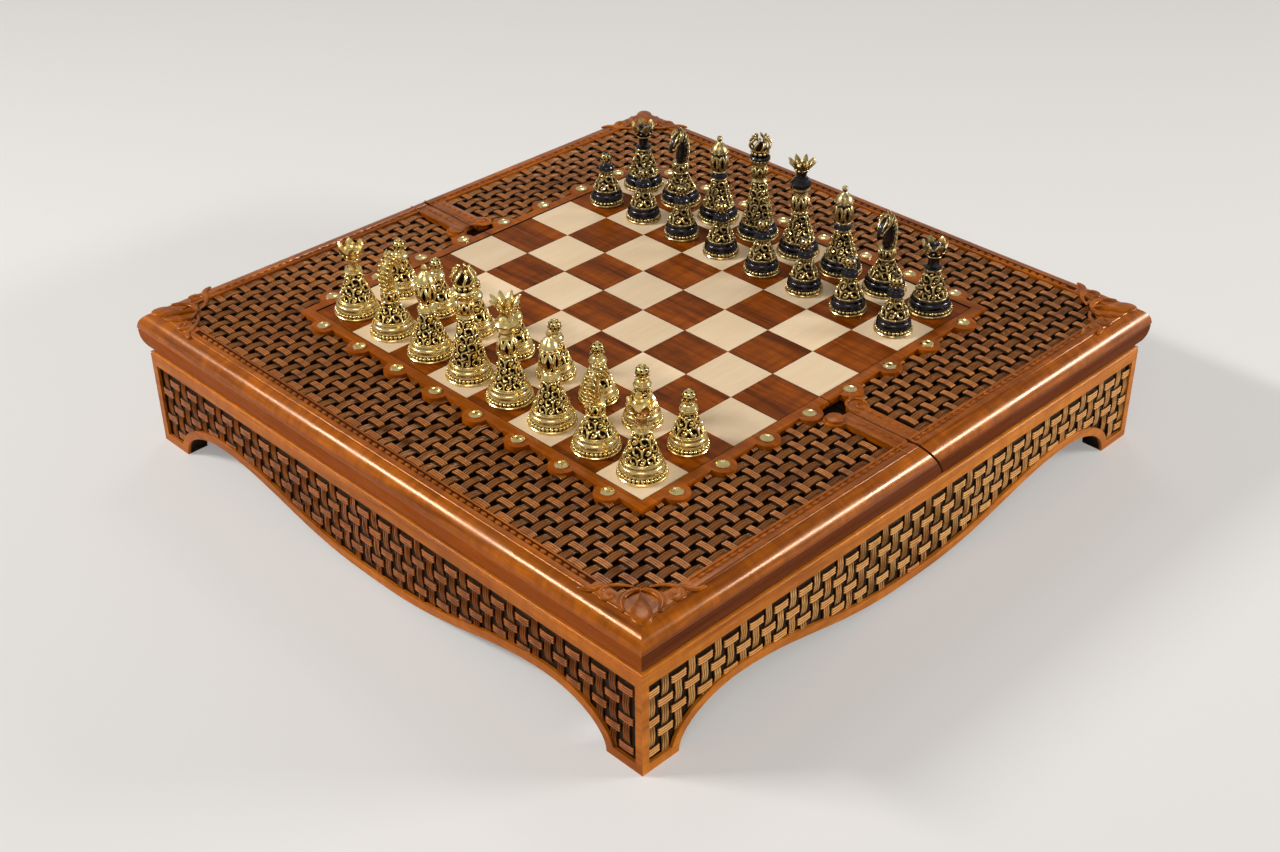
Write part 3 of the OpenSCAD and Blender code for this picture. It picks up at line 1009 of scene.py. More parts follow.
@dataclass
class RimRails:
    """The rounded rails round the top, with their rope groove, fillet and bead."""

    case: Case
    rope_in: float = 260.7
    rope_out: float = 265.3
    rope_deep: float = 0.9
    step_at: float = 268.7
    nose_from: float = 18.3
    nose_w: float = 15.0
    nose_h: float = 14.0
    ledge: float = 8.0
    substrate_low: float = 14.0
    under_w: float = 10.5
    chamfer: float = 0.6
    end_size: float = 0.955

    def section(self) -> list[Flat]:
        """Section of a rail as (outward, height), from the ledge round to the underside.

        Returns:
            The corners of the section.
        """
        top, outer, low = self.case.top, self.case.outer, self.case.lid_low
        inner, nose_z = self.case.rim_in + 0.05, top - self.nose_h
        under_z, step = nose_z - 2.4, self.step_at
        points = [(inner - self.ledge, low), (inner - self.ledge, top - self.substrate_low),
                  (inner, top - self.substrate_low), (inner, top - 0.15), (inner + 0.15, top),
                  (self.rope_in, top), (self.rope_in + 0.3, top - self.rope_deep),
                  (self.rope_out - 0.3, top - self.rope_deep), (self.rope_out, top), (step, top),
                  (step + 0.8, top - 0.15), (step + 1.35, top - 0.6), (step + 1.6, top - 1.1)]
        for index in range(19):
            angle = math.radians(self.nose_from + (90 - self.nose_from) * index / 18)
            points.append((outer - self.nose_w + self.nose_w * math.sin(angle),
                           nose_z + self.nose_h * math.cos(angle)))
        points += [(outer - back, nose_z - down) for back, down in (
            (0.1, 0.3), (1.1, 0.55), (1.15, 0.9), (0.5, 1.2), (0.15, 1.7), (0.35, 2.3))]
        for index in range(13):
            angle = math.radians(90 * index / 12)
            points.append((outer - self.under_w + (self.under_w - 0.4) * math.cos(angle),
                           low + (under_z - low) * (1 - math.sin(angle))))
        return points

    def side(self, name: str) -> Piece:
        """One side of the rim along X at -Y, mitred at both ends.

        Args:
            name: the name of the piece.

        Returns:
            The closed rail.
        """
        reach = self.case.outer + 10
        piece = outline(name, [mm(-reach, -out, z) for out, z in self.section()])
        drawn_out(piece, mm(2 * reach, 0))
        return sliced(sliced(piece, (0, 0, 0), (1, 1, 0)), (0, 0, 0), (-1, 1, 0))

    def ease_end(self, piece: Piece, half: Half) -> None:
        """Cut a side rail's end at the seam, with a small chamfer all round; the cut end and the chamfer
        are finished in rim_shadow as painted shadow in the seam.

        Args:
            piece: the rail.
            half: the half that it belongs to.
        """
        way = Vector((0, -half.value, -half.value * self.case.seam_lean)).normalized()
        step = way * self.chamfer * MM
        sliced(piece, Vector(mm(0, half.value * self.case.seam_gap / 2, self.case.top)) - step, way)
        piece.data.materials.append(PALETTE.made["rim_shadow"])
        piece.active_material_index = 1
        with editing(piece):
            pick(piece, "faces", lambda face: face.normal.dot(way) > 0.99)
            mesh = bmesh.from_edit_mesh(piece.data)
            middle = next(face for face in mesh.faces if face.select).calc_center_median()
            extrude(step)
            bpy.ops.transform.resize(value=(self.end_size,) * 3, center_override=middle + step)
            bpy.ops.mesh.select_more()
            bpy.ops.object.material_slot_assign()

    def shade(self, piece: Piece, finish: str, wanted: Callable[[float, float, float], bool]) -> None:
        """Give some faces of a rail a finish of their own.

        Args:
            piece: the rail.
            finish: their finish.
            wanted: tells by how far out a face lies, its height and its normal's rise.
        """
        piece.data.materials.append(PALETTE.made[finish])
        for face in piece.data.polygons:
            out, z = max(abs(face.center.x), abs(face.center.y)) / MM, face.center.z / MM
            if face.material_index == 0 and wanted(out, z, face.normal.z):
                face.material_index = len(piece.data.materials) - 1

    def build(self) -> None:
        """Make the six rails, with painted shadow in the rope groove of the front and rear rails and a matt
        underside darkened as painted shade.
        """
        master = self.side("rail")
        groove_z, under_z = self.case.top - 0.4, self.case.top - self.nose_h - 0.1
        for half in Half:
            turns = {"outer": 0 if half is Half.FRONT else 2, "left": 3, "right": 1}
            for place, turn in turns.items():
                way = "x" if place == "outer" else "y"
                piece = named(copied(master, quarter_turn(turn)), f"{half.word}_{place}_moulding")
                PALETTE.dress(piece, f"rim_wood_{way}")
                if place != "outer":
                    self.ease_end(piece, half)
                smoothed(outward(piece), 32)
                if place == "outer":
                    # Painted shadow in the rope groove of the front and rear rails, and painted shade on
                    # the underside below the nose.
                    self.shade(piece, "rim_shadow", lambda out, z, rise: (
                        self.rope_in - 0.2 < out < self.rope_out + 0.2 and z < groove_z and rise > -0.5))
                self.shade(piece, f"rim_under_{way}",
                           lambda out, z, rise: out > self.case.rim_in + 5 and z < under_z)
                mount(piece, half.body, "rim_wood", f"{half.word}_{place}_rail")
        bpy.data.objects.remove(master)


@dataclass(frozen=True)
class BarSize:
    """A carved bar: its length and width, the height of its middle and how far its ends lie lower."""

    length: float
    width: float
    crown: float
    drop: float


@dataclass
class Lattice:
    """A carved basket weave of grooved bars that cross over and under each other."""

    case: Case
    pitch: float = 11.6
    rows: int = 22
    x_bar: BarSize = BarSize(13.2, 5.5, -0.3, 0.9)
    y_bar: BarSize = BarSize(19.4, 6.4, -0.6, 2.9)
    hollow: float = 4.6
    stud_clear: float = 10.0
    seam_from: float = 198.0
    seam_half: float = 14.0
    first_row: float = 17.0
    side_pitch: float = 12.1
    side_rows: Sequence[float] = (62.6, 50.45, 38.3, 26.15, 14.0)
    across: BarSize = BarSize(12.8, 6.3, 2.95, 0.8)
    upright: BarSize = BarSize(19.0, 6.3, 2.6, 1.9)
    field_deep: float = 3.0
    field_low: float = 7.0
    foot_long: float = 90.0
    arch_w: float = 57.0
    arch_h: float = 31.5

    def bar(self, name: str, size: BarSize, level: float = 0.0) -> Piece:
        """One bar along X with three ridges, arched from end to end.

        Args:
            name: the name of the piece.
            size: its sizes.
            level: the height that its middle is measured from.

        Returns:
            The closed bar, whose grooves are marked.
        """
        ridge = [(-0.12, 0.6, 0.6), (-0.055, 0.04, 0.0), (0.055, 0.04, 0.0), (0.12, 0.6, 0.6)]
        section = [(-0.5, 1.6, 1.0)]
        for middle, after in ((-0.325, (-0.163, 1.2, 1.0)), (0.0, (0.163, 1.2, 1.0)),
                              (0.325, (0.5, 1.6, 1.0))):
            section += [(middle + across, deep, mark) for across, deep, mark in ridge] + [after]
        arch = [(-0.5, 1.0), (-0.35, 0.36), (0.0, 0.0), (0.35, 0.36), (0.5, 1.0)]
        steps_x, steps_y = len(arch) - 1, len(section) - 1
        bpy.ops.mesh.primitive_grid_add(x_subdivisions=steps_x, y_subdivisions=steps_y, size=1)
        piece = fresh(name)
        marks = piece.data.attributes.new(GROOVE, "FLOAT", "POINT")
        for corner, mark in zip(piece.data.vertices, marks.data):
            along, dive = arch[round((corner.co.x + 0.5) * steps_x)]
            across, deep, mark.value = section[round((corner.co.y + 0.5) * steps_y)]
            corner.co = mm(along * size.length, across * size.width,
                           level + size.crown - dive * size.drop - deep)
        with editing(piece, True):
            extrude(mm(0, 0, -2.0))
        with editing(piece):
            mesh = bmesh.from_edit_mesh(piece.data)
            low = min(face.calc_center_median().z for face in mesh.faces)
            pick(piece, "faces", lambda face: face.normal.z < -0.5 or face.calc_center_median().z < low)
            bpy.ops.mesh.dissolve_faces()
        return smoothed(outward(piece), 50)

    def covered(self, x: float, y: float) -> bool:
        """Tell whether a point of the woven border lies under the band or the seam rails.

        Args:
            x: the point's x, in millimetres.
            y: its y.

        Returns:
            Whether it is covered.
        """
        if not self.case.band <= max(abs(x), abs(y)) <= self.case.rim_in:
            return True
        if any(math.hypot(x - sx, y - sy) < self.stud_clear for sx, sy in self.case.stud_spots()):
            return True
        return abs(x) > self.seam_from and abs(y) < self.seam_half

    def top(self) -> None:
        """Weave the border of both halves."""
        level = self.case.top
        masters = self.bar("x_bar", self.x_bar, level), self.bar("y_bar", self.y_bar, level)
        reach = (self.x_bar.length / 2 - 2, 0), (0, self.y_bar.length / 2 - 2)
        for half in Half:
            parts = []
            for turn, (master, (dx, dy)) in enumerate(zip(masters, reach)):
                places = []
                for i in range(-self.rows, self.rows + 1):
                    for j in range(2, self.rows + 1):
                        x, y = i * self.pitch, half.value * j * self.pitch
                        ends = ((x, y), (x + dx, y + dy), (x - dx, y - dy))
                        if (i + j + turn) % 2 and abs(y) >= self.first_row:
                            if not all(self.covered(*end) for end in ends):
                                places.append(at(x, y) @ quarter_turn(turn))
                parts.append(join("bars", [copied(master, place) for place in places]))
            panel = f"{half.word}_weave_panel"
            weave = join(f"{half.word}_basket_weave", parts)
            mount(weave, half.body, "weave_wood", panel, finish="top_weave")
            # A near-black plate at the bottom of the weave's hollow, as painted shade.
            ground = outward(lifted(panel, f"{half.word}_weave_ground"), 2e-6)
            sliced(ground, mm(0, 0, level - self.hollow), (0, 0, 1))
            mount(ground, half.body, "weave_wood", panel, finish="weave_ground")
        for master in masters:
            bpy.data.objects.remove(master)

    def low_edge(self, along: float) -> float:
        """Height of the carved field's lower edge at a distance from mid-length.

        Args:
            along: the distance along the apron, in millimetres.

        Returns:
            The height above the floor.
        """
        low, inward = self.field_low, self.case.base - abs(along) - self.foot_long
        if inward < 0:
            rise = 1 - (inward / (self.arch_w + low)) ** 2
            return max(low, (self.arch_h + low) * math.sqrt(max(rise, 0)))
        share = (1 + math.cos(math.pi * inward / (self.case.base - self.foot_long))) / 2
        return low * 2 + (self.arch_h - low) * share ** 1.35

    def side(self, name: str, turn: int) -> None:
        """Weave the carved field of one apron.

        Args:
            name: the apron's side.
            turn: right angles from the -Y side.
        """
        whole, way = turn % 2, "xy"[turn % 2]
        across = PALETTE.dress(self.bar("across", self.across), f"side_across_{way}")
        upright = PALETTE.dress(self.bar("upright", self.upright), f"side_upright_{way}")
        face = (quarter_turn(turn) @ at(0, -(self.case.base - self.field_deep))
                @ Matrix.Rotation(math.pi / 2, 4, "X"))
        parts = []
        for row, z in enumerate(self.side_rows):
            for column in range(-22, 22 + whole):
                x = self.side_pitch * (column if whole else column + 0.5)
                low = self.low_edge(x) - 3
                top, bottom = z + 9.5, max(z - 9.5, low)
                if (column + row + whole) % 2:
                    if z >= low + 3:
                        parts.append(copied(across, face @ at(x, z)))
                elif top - bottom >= 5:
                    size = Matrix.Diagonal((1, (top - bottom) / self.upright.length, 1, 1))
                    place = at(x, (top + bottom) / 2) @ size @ quarter_turn(1)
                    parts.append(copied(upright, face @ place))
        bpy.data.objects.remove(across)
        bpy.data.objects.remove(upright)
        mount(join(f"{name}_apron_weave", parts), "base", "base_wood")

    def build(self) -> None:
        """Weave the top's border and the four aprons."""
        self.top()
        for turn, name in enumerate(("front", "right", "rear", "left")):
            self.side(name, turn)


@dataclass
class CarvedTrim:
    """Rope rows, corner scrolls and the leaves at the ends of the seam rails."""

    case: Case
    rope_at: float = 263.0
    rope_pitch: float = 7.25
    rope_end: float = 217.0
    rope_clear: float = 4.5
    rail_end: float = 258.0

    def leaf(self) -> Piece:
        """One pointed bead of a rope row, along X.

        Returns:
            The bead.
        """
        shape = [(-3.3, 0.5), (-2.0, -1.2), (0, -1.75), (2.2, -1.3), (3.5, 0.1), (2.3, 1.3), (0.2, 1.75),
                 (-1.8, 1.4)]
        piece = outline("leaf", [mm(x, y) for x, y in shape])
        with editing(piece, True):
            for shift, size in ((0, (0.9, 0.86, 1)), (0.3, (0.6, 0.42, 1))):
                extrude(mm(shift, 0, 0.6))
                bpy.ops.transform.resize(value=size)
        return smoothed(outward(piece), 25)

    def rope_places(self, half: Half) -> list[Matrix]:
        """Places of the beads on one half: along its three sides and beside the seam.

        Args:
            half: the half.

        Returns:
            A place for each bead.
        """
        count, z = int(self.rope_end / self.rope_pitch), self.case.top - 1.0
        places = []
        for turn in range(4):
            for index in range(-count, count + 1):
                spot = quarter_turn(turn) @ Vector((index * self.rope_pitch, -self.rope_at, 0))
                if spot.y * half.value >= self.rope_clear:
                    places.append(at(spot.x, spot.y, z) @ quarter_turn(turn))
        row, x = (-6.3, 226) if half is Half.FRONT else (9.3, 219)
        while x < self.rail_end:
            places += [at(side * x, row, z + 0.65) for side in (-1, 1)]
            x += self.rope_pitch
        return places

    def strands(self, name: str, lines: Sequence[Sequence[Flat]], radius: float, z: float,
                flat: float, ends: float) -> Piece:
        """Raised strands along flat lines, pressed flatter than round.

        Args:
            name: the name of the piece.
            lines: the lines' (x, y) points, in millimetres.
            radius: the strand's half width.
            z: height of the strand's middle.
            flat: its height as a share of its width.
            ends: share of the width left at the ends.

        Returns:
            The strands.
        """
        piece = tubes(name, [[mm(x, y) for x, y in rounded(line)] for line in lines], radius, ends, 2)
        piece.data.transform(at(0, 0, z) @ Matrix.Diagonal((1, 1, flat, 1)))
        return piece

    def drop(self) -> Piece:
        """The pointed leaf between the scrolls of a corner.

        Returns:
            The leaf.
        """
        shape = [(245, 247), (251, 250.6), (258, 253.2), (264.6, 255.6), (270.4, 259.6), (273.2, 265.4),
                 (272.6, 270.6), (270.6, 272.6), (265.4, 273.2), (259.6, 270.4), (255.6, 264.6),
                 (253.2, 258), (250.6, 251), (245, 247)]
        leaf = outline("drop", [mm(a, -b, self.case.top - 2) for a, b in rounded(shape)[:-1]])
        middle = sum((corner.co for corner in leaf.data.vertices), Vector()) / len(leaf.data.vertices)
        last = 1.0
        with editing(leaf, True):
            for lift, size in ((2.1, 1.0), (0.9, 0.95), (0.6, 0.82), (0.3, 0.55), (0.1, 0.25)):
                extrude(mm(0, 0, lift))
                bpy.ops.transform.resize(value=(size / last, size / last, 1), center_override=middle)
                last = size
        return smoothed(outward(leaf), 50)

    def corner(self) -> Piece:
        """The scrolls and the drop on the corner at +X and -Y.

        Returns:
            The carving of one corner.
        """
        curls = {
            2.6: [(246.6, 246.2), (253.4, 243), (260.6, 243.6), (266.4, 247.6), (270.2, 254.4)],
            1.9: [(248.6, 241.4), (252.4, 234.6), (258.4, 229.6), (265.2, 228.8), (270.2, 232.6),
                  (269.8, 238.4), (264.6, 240), (262.4, 236.4), (265.4, 234.6)],
            2.2: [(257, 231), (262.6, 226.6), (268, 225.6), (271.4, 222.4), (272.8, 216)],
        }
        lands = {
            0.02: [(221, 260.6), (221, 265.4), (265.4, 265.4), (265.4, 221), (260.6, 221), (260.6, 260.6)],
            -0.8: [(236, 260.8), (243.5, 250.5), (247.5, 247.5), (250.5, 243.5), (260.8, 236),
                   (260.8, 260.8)],
        }
        parts = []
        for radius, curl in curls.items():
            lines = [[(a, -b) for a, b in curl], [(b, -a) for a, b in curl]]
            parts.append(self.strands("curls", lines, radius, self.case.top, 0.6, 0.3))
        parts.append(self.drop())
        for level, corners in lands.items():
            land = outline("land", [mm(a, -b, self.case.top - 3) for a, b in corners])
            parts.append(drawn_out(land, mm(0, 0, 3 + level)))
        return join("corner", parts)

    def seam_leaves(self, half: Half) -> Piece:
        """The hooks and rings at the inner ends of one half's seam rails.

        Args:
            half: the half.

        Returns:
            The carving at both ends.
        """
        if half is Half.REAR:
            lines = [
                [(214, 3.5), (206, 2.6), (199.6, 5.6), (197.4, 11), (199.6, 16.4), (205.4, 18.6),
                 (210.5, 16.6)],
                [(214, 9.4), (208, 8.4), (204.4, 10.8), (205.6, 14), (209, 14.4)],
                [(198.4, 12), (195, 16.6), (190.6, 20.4)],
            ]
            lift, radius, edge = 0.2, 1.3, 2.2
        else:
            angles = [step / 8 * math.pi for step in range(17)]
            lines = [[(207.5 + 7.4 * math.cos(a), -15.5 + 7.4 * math.sin(a)) for a in angles]]
            lift, radius, edge = 0.0, 0.7, -12.9
        both = lines + [[(-x, y) for x, y in line] for line in lines]
        leaves = self.strands("seam_leaf", both, radius, self.case.top + lift, 0.7, 0.5)
        fillets = [[(side * x, edge) for x in (214, 262, 271.5)] for side in (-1, 1)]
        return join("seam_trim", [leaves, self.strands("fillet", fillets, 0.55, self.case.top, 0.8, 0.8)])

    def build(self) -> None:
        """Make the trim of both halves."""
        for half in Half:
            rope = repeated(f"{half.word}_rope_row", self.leaf(), self.rope_places(half))
            mount(rope, half.body, "rim_wood", finish="rim_wood_x")
            turns = (0, 3) if half is Half.FRONT else (1, 2)
            scrolls = repeated("scrolls", self.corner(), [quarter_turn(turn) for turn in turns])
            trim = join(f"{half.word}_scrollwork", [scrolls, self.seam_leaves(half)])
            mount(trim, half.body, "rim_wood", finish="rim_wood_x")


@dataclass
class Board:
    """The inlaid squares, the band with its lobes, the studs and the rails at the seam."""

    case: Case
    stud_r: float = 5.2
    stud_wall: float = 0.7

    def stud(self) -> Piece:
        """One faceted brass stud.

        Returns:
            The stud, at the origin.
        """
        bpy.ops.mesh.primitive_cylinder_add(vertices=12, radius=self.stud_r * MM, depth=self.stud_wall * MM,
                                            location=mm(0, 0, self.stud_wall / 2))
        piece = fresh("stud")
        take(piece)
        bpy.ops.object.transform_apply(location=True, rotation=True, scale=True)
        with editing(piece):
            for inset, lift in ((1.1, 0.7), (1.4, 0.4), (1.2, -0.25)):
                pick(piece, "faces", lambda face: face.normal.z > 0.9 and len(face.verts) > 4)
                bpy.ops.mesh.inset(thickness=inset * MM)
                bpy.ops.transform.translate(value=mm(0, 0, lift))
                bpy.ops.transform.rotate(value=math.radians(15), orient_axis="Z",
                                         center_override=(0, 0, 0))
        return outward(piece)

    def build(self) -> None:
        """Dress the nodes of the board and set the studs."""
        finishes = {"light_squares": "light_square", "dark_squares": "dark_square",
                    "substrate": "inner_wood", "runners": "inner_wood_y"}
        for half in Half:
            word = half.word
            for node, finish in finishes.items():
                PALETTE.refinish(f"{word}_{node}", finish)
            band = softened(f"{word}_board_band", f"{word}_lobed_band", 0.22)
            mount(band, half.body, "band_wood", f"{word}_board_band", finish="band_wood")
            rail = softened(f"{word}_seam_rail", f"{word}_seam_moulding", 0.5)
            mount(rail, half.body, "rim_wood", f"{word}_seam_rail", finish="rim_wood_x")
            spots = [spot for spot in self.case.stud_spots() if spot[1] * half.value > 0]
            places = [at(*spot, self.case.top + 0.6) @ turn_z(0.37 * index)
                      for index, spot in enumerate(spots)]
            studs = repeated(f"{word}_faceted_studs", self.stud(), places)
            mount(studs, half.body, "stud_brass", f"{word}_studs", finish="stud_brass")


@dataclass
class BaseBox:
    """The base with its aprons, blocks, bottom, lining and dividers."""

    finishes: dict[str, str] = field(default_factory=lambda: {
        "front_apron": "base_wood_x", "rear_apron": "base_wood_x", "left_apron": "base_wood_y",
        "right_apron": "base_wood_y", "corner_blocks": "inner_wood", "bottom_panel": "inner_wood",
        "well_lining": "green_felt", "cross_dividers": "inner_wood", "long_dividers": "inner_wood_y",
        "guide_rails": "inner_wood_y"})

    def build(self) -> None:
        """Dress the nodes of the base."""
        for node, finish in self.finishes.items():
            PALETTE.refinish(node, finish)


# ---- chessmen ----


@dataclass(frozen=True)
class Bulb:
    """A pierced swelling: a core painted dark as shade inside upright ribs that lean both ways."""

    low: float
    high: float
    foot: float
    belly: float
    neck: float
    ribs: int
    twist: float
    rib: float

    def radius(self, share: float) -> float:
        """Radius at a share of the height."""
        base = self.foot + (self.neck - self.foot) * share
        return base + (self.belly - (self.foot + self.neck) / 2) * math.sin(math.pi * share)

    def height(self, share: float) -> float:
        """Height at a share of the height."""
        return self.low + (self.high - self.low) * share


@dataclass
class Chessman:
    """A cast chessman with a beaded foot and a pierced bell; each kind adds its own head."""

    height: float
    foot_r: float
    collar: float
    curl: float = 3.4
    bell_low: float = 13.0
    core_gap: float = 0.9
    parts: list[Piece] = field(default_factory=list)

    def add(self, piece: Piece, role: Role, degrees: float = 35) -> None:
        """Keep a part, smoothed and marked with its role.

        Args:
            piece: the part.
            role: its role.
            degrees: the angle from which its edges stay crisp.
        """
        smoothed(piece, degrees)
        piece.data.materials.clear()
        piece.data.materials.append(ROLES[role])
        self.parts.append(piece)

    def lathe(self, name: str, role: Role, steps: int, profile: Sequence[Flat], base: float = 0.0,
              size: float = 1.0) -> None:
        """Turn a part.

        Args:
            name: the name of the part.
            role: its role.
            steps: faces round it.
            profile: (radius, height) from the axis below to the axis above.
            base: the level that its heights are measured from.
            size: what its radii are shares of.
        """
        self.add(turned(name, [(across * size, base + up) for across, up in profile], steps), role)

    def balls(self, name: str, size: float, places: Sequence[Matrix], role: Role = Role.GILT) -> None:
        """Round beads of one size."""
        bpy.ops.mesh.primitive_ico_sphere_add(subdivisions=2, radius=size * MM)
        self.add(repeated(name, fresh("ball"), places), role, 180)

    def beads(self, count: int, ring: float, z: float, size: float, role: Role = Role.GILT) -> None:
        """A ring of beads."""
        self.balls("beads", size, around(count, ring, z), role)

    def ring(self, radius: float, z: float, thick: float, role: Role = Role.GILT, steps: int = 28) -> None:
        """A half-round ring whose middle lies at a height.

        Args:
            radius: its outer radius.
            z: the height of its middle.
            thick: half its height.
            role: its role.
            steps: faces round it.
        """
        shape = [(radius - thick + thick * math.sin(a), -thick * math.cos(a))
                 for a in (math.pi * step / 6 for step in range(7))]
        self.lathe("ring", role, steps, [(0, -thick), *shape, (0, thick)], z)

    def bell_r(self, z: float) -> float:
        """Radius of the bell at a height.

        Args:
            z: the height, in millimetres.

        Returns:
            The radius.
        """
        shape = [(0.0, 0.74), (0.12, 0.67), (0.25, 0.6), (0.55, 0.45), (0.85, 0.335), (1.0, 0.30)]
        share = min(max((z - self.bell_low) / (self.collar - self.bell_low), 0), 1)
        (a, ra), (b, rb) = next(pair for pair in zip(shape, shape[1:]) if share <= pair[1][0])
        return self.foot_r * (ra + (rb - ra) * (share - a) / (b - a))

    def wrap(self, line: Sequence[Flat], turn: float, out: float = 0.1) -> list[Spot]:
        """Lay a flat line of (sideways, height) round the bell.

        Args:
            line: the line's points, in millimetres.
            turn: where its middle goes, in degrees.
            out: how far it lies outside the bell.

        Returns:
            The points in space, in metres.
        """
        spots = []
        for across, z in line:
            radius = self.bell_r(z) + out
            spots.append(polar(radius, math.radians(turn) + across / max(radius, 2.5), z))
        return spots

    def foot(self) -> None:
        """The disc, its ring of beads and the steps up to the bell."""
        seat, bead_pitch, r = 0.9, 3.05, self.foot_r
        self.lathe("disc", Role.GILT, 40, [
            (0, 0), (0.97, 0), (1, 0.5), (1, 1.5), (0.97, 2.1), (0.87, 2.3), (0.87, 5.2), (0.88, 5.5),
            (0, 5.5)], size=r)
        self.lathe("steps", Role.BODY, 40, [
            (0, 5.2), (0.9, 5.2), (0.915, 5.8), (0.9, 6.6), (0.86, 7), (0.86, 7.6), (0.89, 8),
            (0.885, 8.8), (0.83, 9.3), (0.8, 10.2), (0.79, 11), (0.81, 11.4), (0.8, 12.2), (0.75, 12.8),
            (0.73, 13.4), (0, 13.4)], size=r)
        # A dark band behind the ring of beads: painted shade in the groove.
        self.lathe("groove", Role.HOLE, 40, [(0, 2.2), (0.88, 2.2), (0.88, 5.3), (0, 5.3)], size=r)
        self.beads(round(math.tau * r * seat / bead_pitch), r * seat, 3.7, 1.5)

    def bell(self) -> None:
        """The core of the bell, painted dark as the shade within, under tiers of paired scrolls that grow
        smaller upwards.
        """
        rise = self.collar - self.bell_low
        levels = [self.bell_low + rise * step / 8 for step in range(9)]
        core = [(self.bell_r(z) - self.core_gap, z) for z in levels]
        self.lathe("core", Role.HOLE, 28, [(0, self.bell_low - 0.5), *core, (0, self.collar)])
        low, tier = self.bell_low + 0.5, 0
        while low < self.collar - 2.5:
            round_it = math.tau * self.bell_r(low + 2)
            arms = max(3, round(round_it / (4 * self.curl)))
            size = min(round_it / (4 * arms), (self.collar - low) * 0.56)
            middle = low + size * 0.92
            lines, dots = [], []
            for index in range(arms):
                turn = 360 / arms * (index + tier % 2 / 2)
                lines += [self.wrap(self.scroll(side, size, middle), turn) for side in (-1, 1)]
                stem = [(0, low - size * 0.2), (0, middle), (0, middle + size * 0.5)]
                lines.append(self.wrap(stem, turn))
                dots += [self.wrap([spot], turn, 0.0)[0] for spot in (
                    (0, middle + size), (size * 2, middle - size * 0.95), (size, middle))]
            self.add(tubes("scrolls", lines, size * 0.28, 0.75), Role.GILT, 60)
            self.balls("dots", size * 0.33, [Matrix.Translation(spot) for spot in dots])
            low, tier = low + size * 1.72, tier + 1
        self.ring(self.bell_r(self.bell_low) + 0.5, self.bell_low + 0.3, 0.7)

    def scroll(self, side: int, size: float, middle: float, steps: int = 13) -> list[Flat]:
        """One scroll of a pair, which narrows as it turns in.

        Args:
            side: -1 or 1 for the side of the stem.
            size: its distance from the stem.
            middle: the height of its middle.
            steps: number of straight steps.

        Returns:
            Its points as (sideways, height).
        """
        start, end = size * 0.82, size * 0.46
        points = []
        for share in (index / steps for index in range(steps + 1)):
            radius, angle = start + (end - start) * share, math.radians(90 + side * 90 - side * 320 * share)
            points.append((side * size + radius * math.cos(angle), middle + radius * math.sin(angle)))
        return points

    def bulb(self, bulb: Bulb) -> None:
        """Add a pierced swelling.

        Args:
            bulb: its sizes.
        """
        core = [(max(bulb.radius(s / 6) - self.core_gap, 0.4), bulb.height(s / 6)) for s in range(7)]
        self.lathe("core", Role.HOLE, 20, [(0, bulb.low), *core, (0, bulb.high)])
        lines = [[polar(bulb.radius(share), math.tau * index / bulb.ribs
                        + side * bulb.twist * math.sin(math.pi * share), bulb.height(share))
                  for share in (step / 8 for step in range(9))]
                 for index in range(bulb.ribs) for side in (-1, 1)]
        self.add(tubes("ribs", lines, bulb.rib, 0.7), Role.GILT, 60)

    def head(self) -> None:
        """What stands on the collar; each kind has its own."""

    def build(self, name: str) -> Piece:
        """Make the chessman at the origin.

        Args:
            name: the name of its kind.

        Returns:
            The joined piece, with a material slot for each role.
        """
        self.foot()
        self.bell()
        self.head()
        return join(name, self.parts)


@dataclass
class Pawn(Chessman):
    """A pawn: a wide collar and a round gilt head with dark beads set in it, painted shade where its
    piercings would be.
    """

    curl: float = 3.6
    ball_r: float = 4.8

    def head(self) -> None:
        """Collar, short neck and pierced ball."""
        z, middle = self.collar, self.height - 5.5
        self.lathe("collar", Role.BODY, 24, [
            (0, -0.4), (5.2, -0.4), (6.5, 0.5), (6.7, 1.5), (5.8, 2.3), (6.1, 3.0), (5.6, 4.0),
            (4.4, 4.6), (3.8, 5.4), (0, 5.4)], z)
        self.ring(5.6, z - 0.6, 0.7, Role.GILT, 24)
        ball = [(self.ball_r * math.cos(a), self.ball_r * math.sin(a))
                for a in (math.radians(15 * step - 75) for step in range(11))]
        self.lathe("ball", Role.GILT, 20, [(0, -4.7), *ball, (0, 4.7)], middle)
        # Dark beads in rings round the ball: painted shade of its piercings.
        for count, lift in ((7, -32), (9, -2), (7, 28), (4, 54)):
            angle = math.radians(lift)
            self.beads(count, 4.3 * math.cos(angle), middle + 4.3 * math.sin(angle), 0.95, Role.HOLE)
        self.beads(9, 4.6, middle - 4.6 + 1.6, 0.8)
        self.lathe("button", Role.BODY, 12, [
            (0, 4.0), (1.7, 4.2), (1.9, 4.8), (1.1, 5.4), (0, 5.5)], middle)


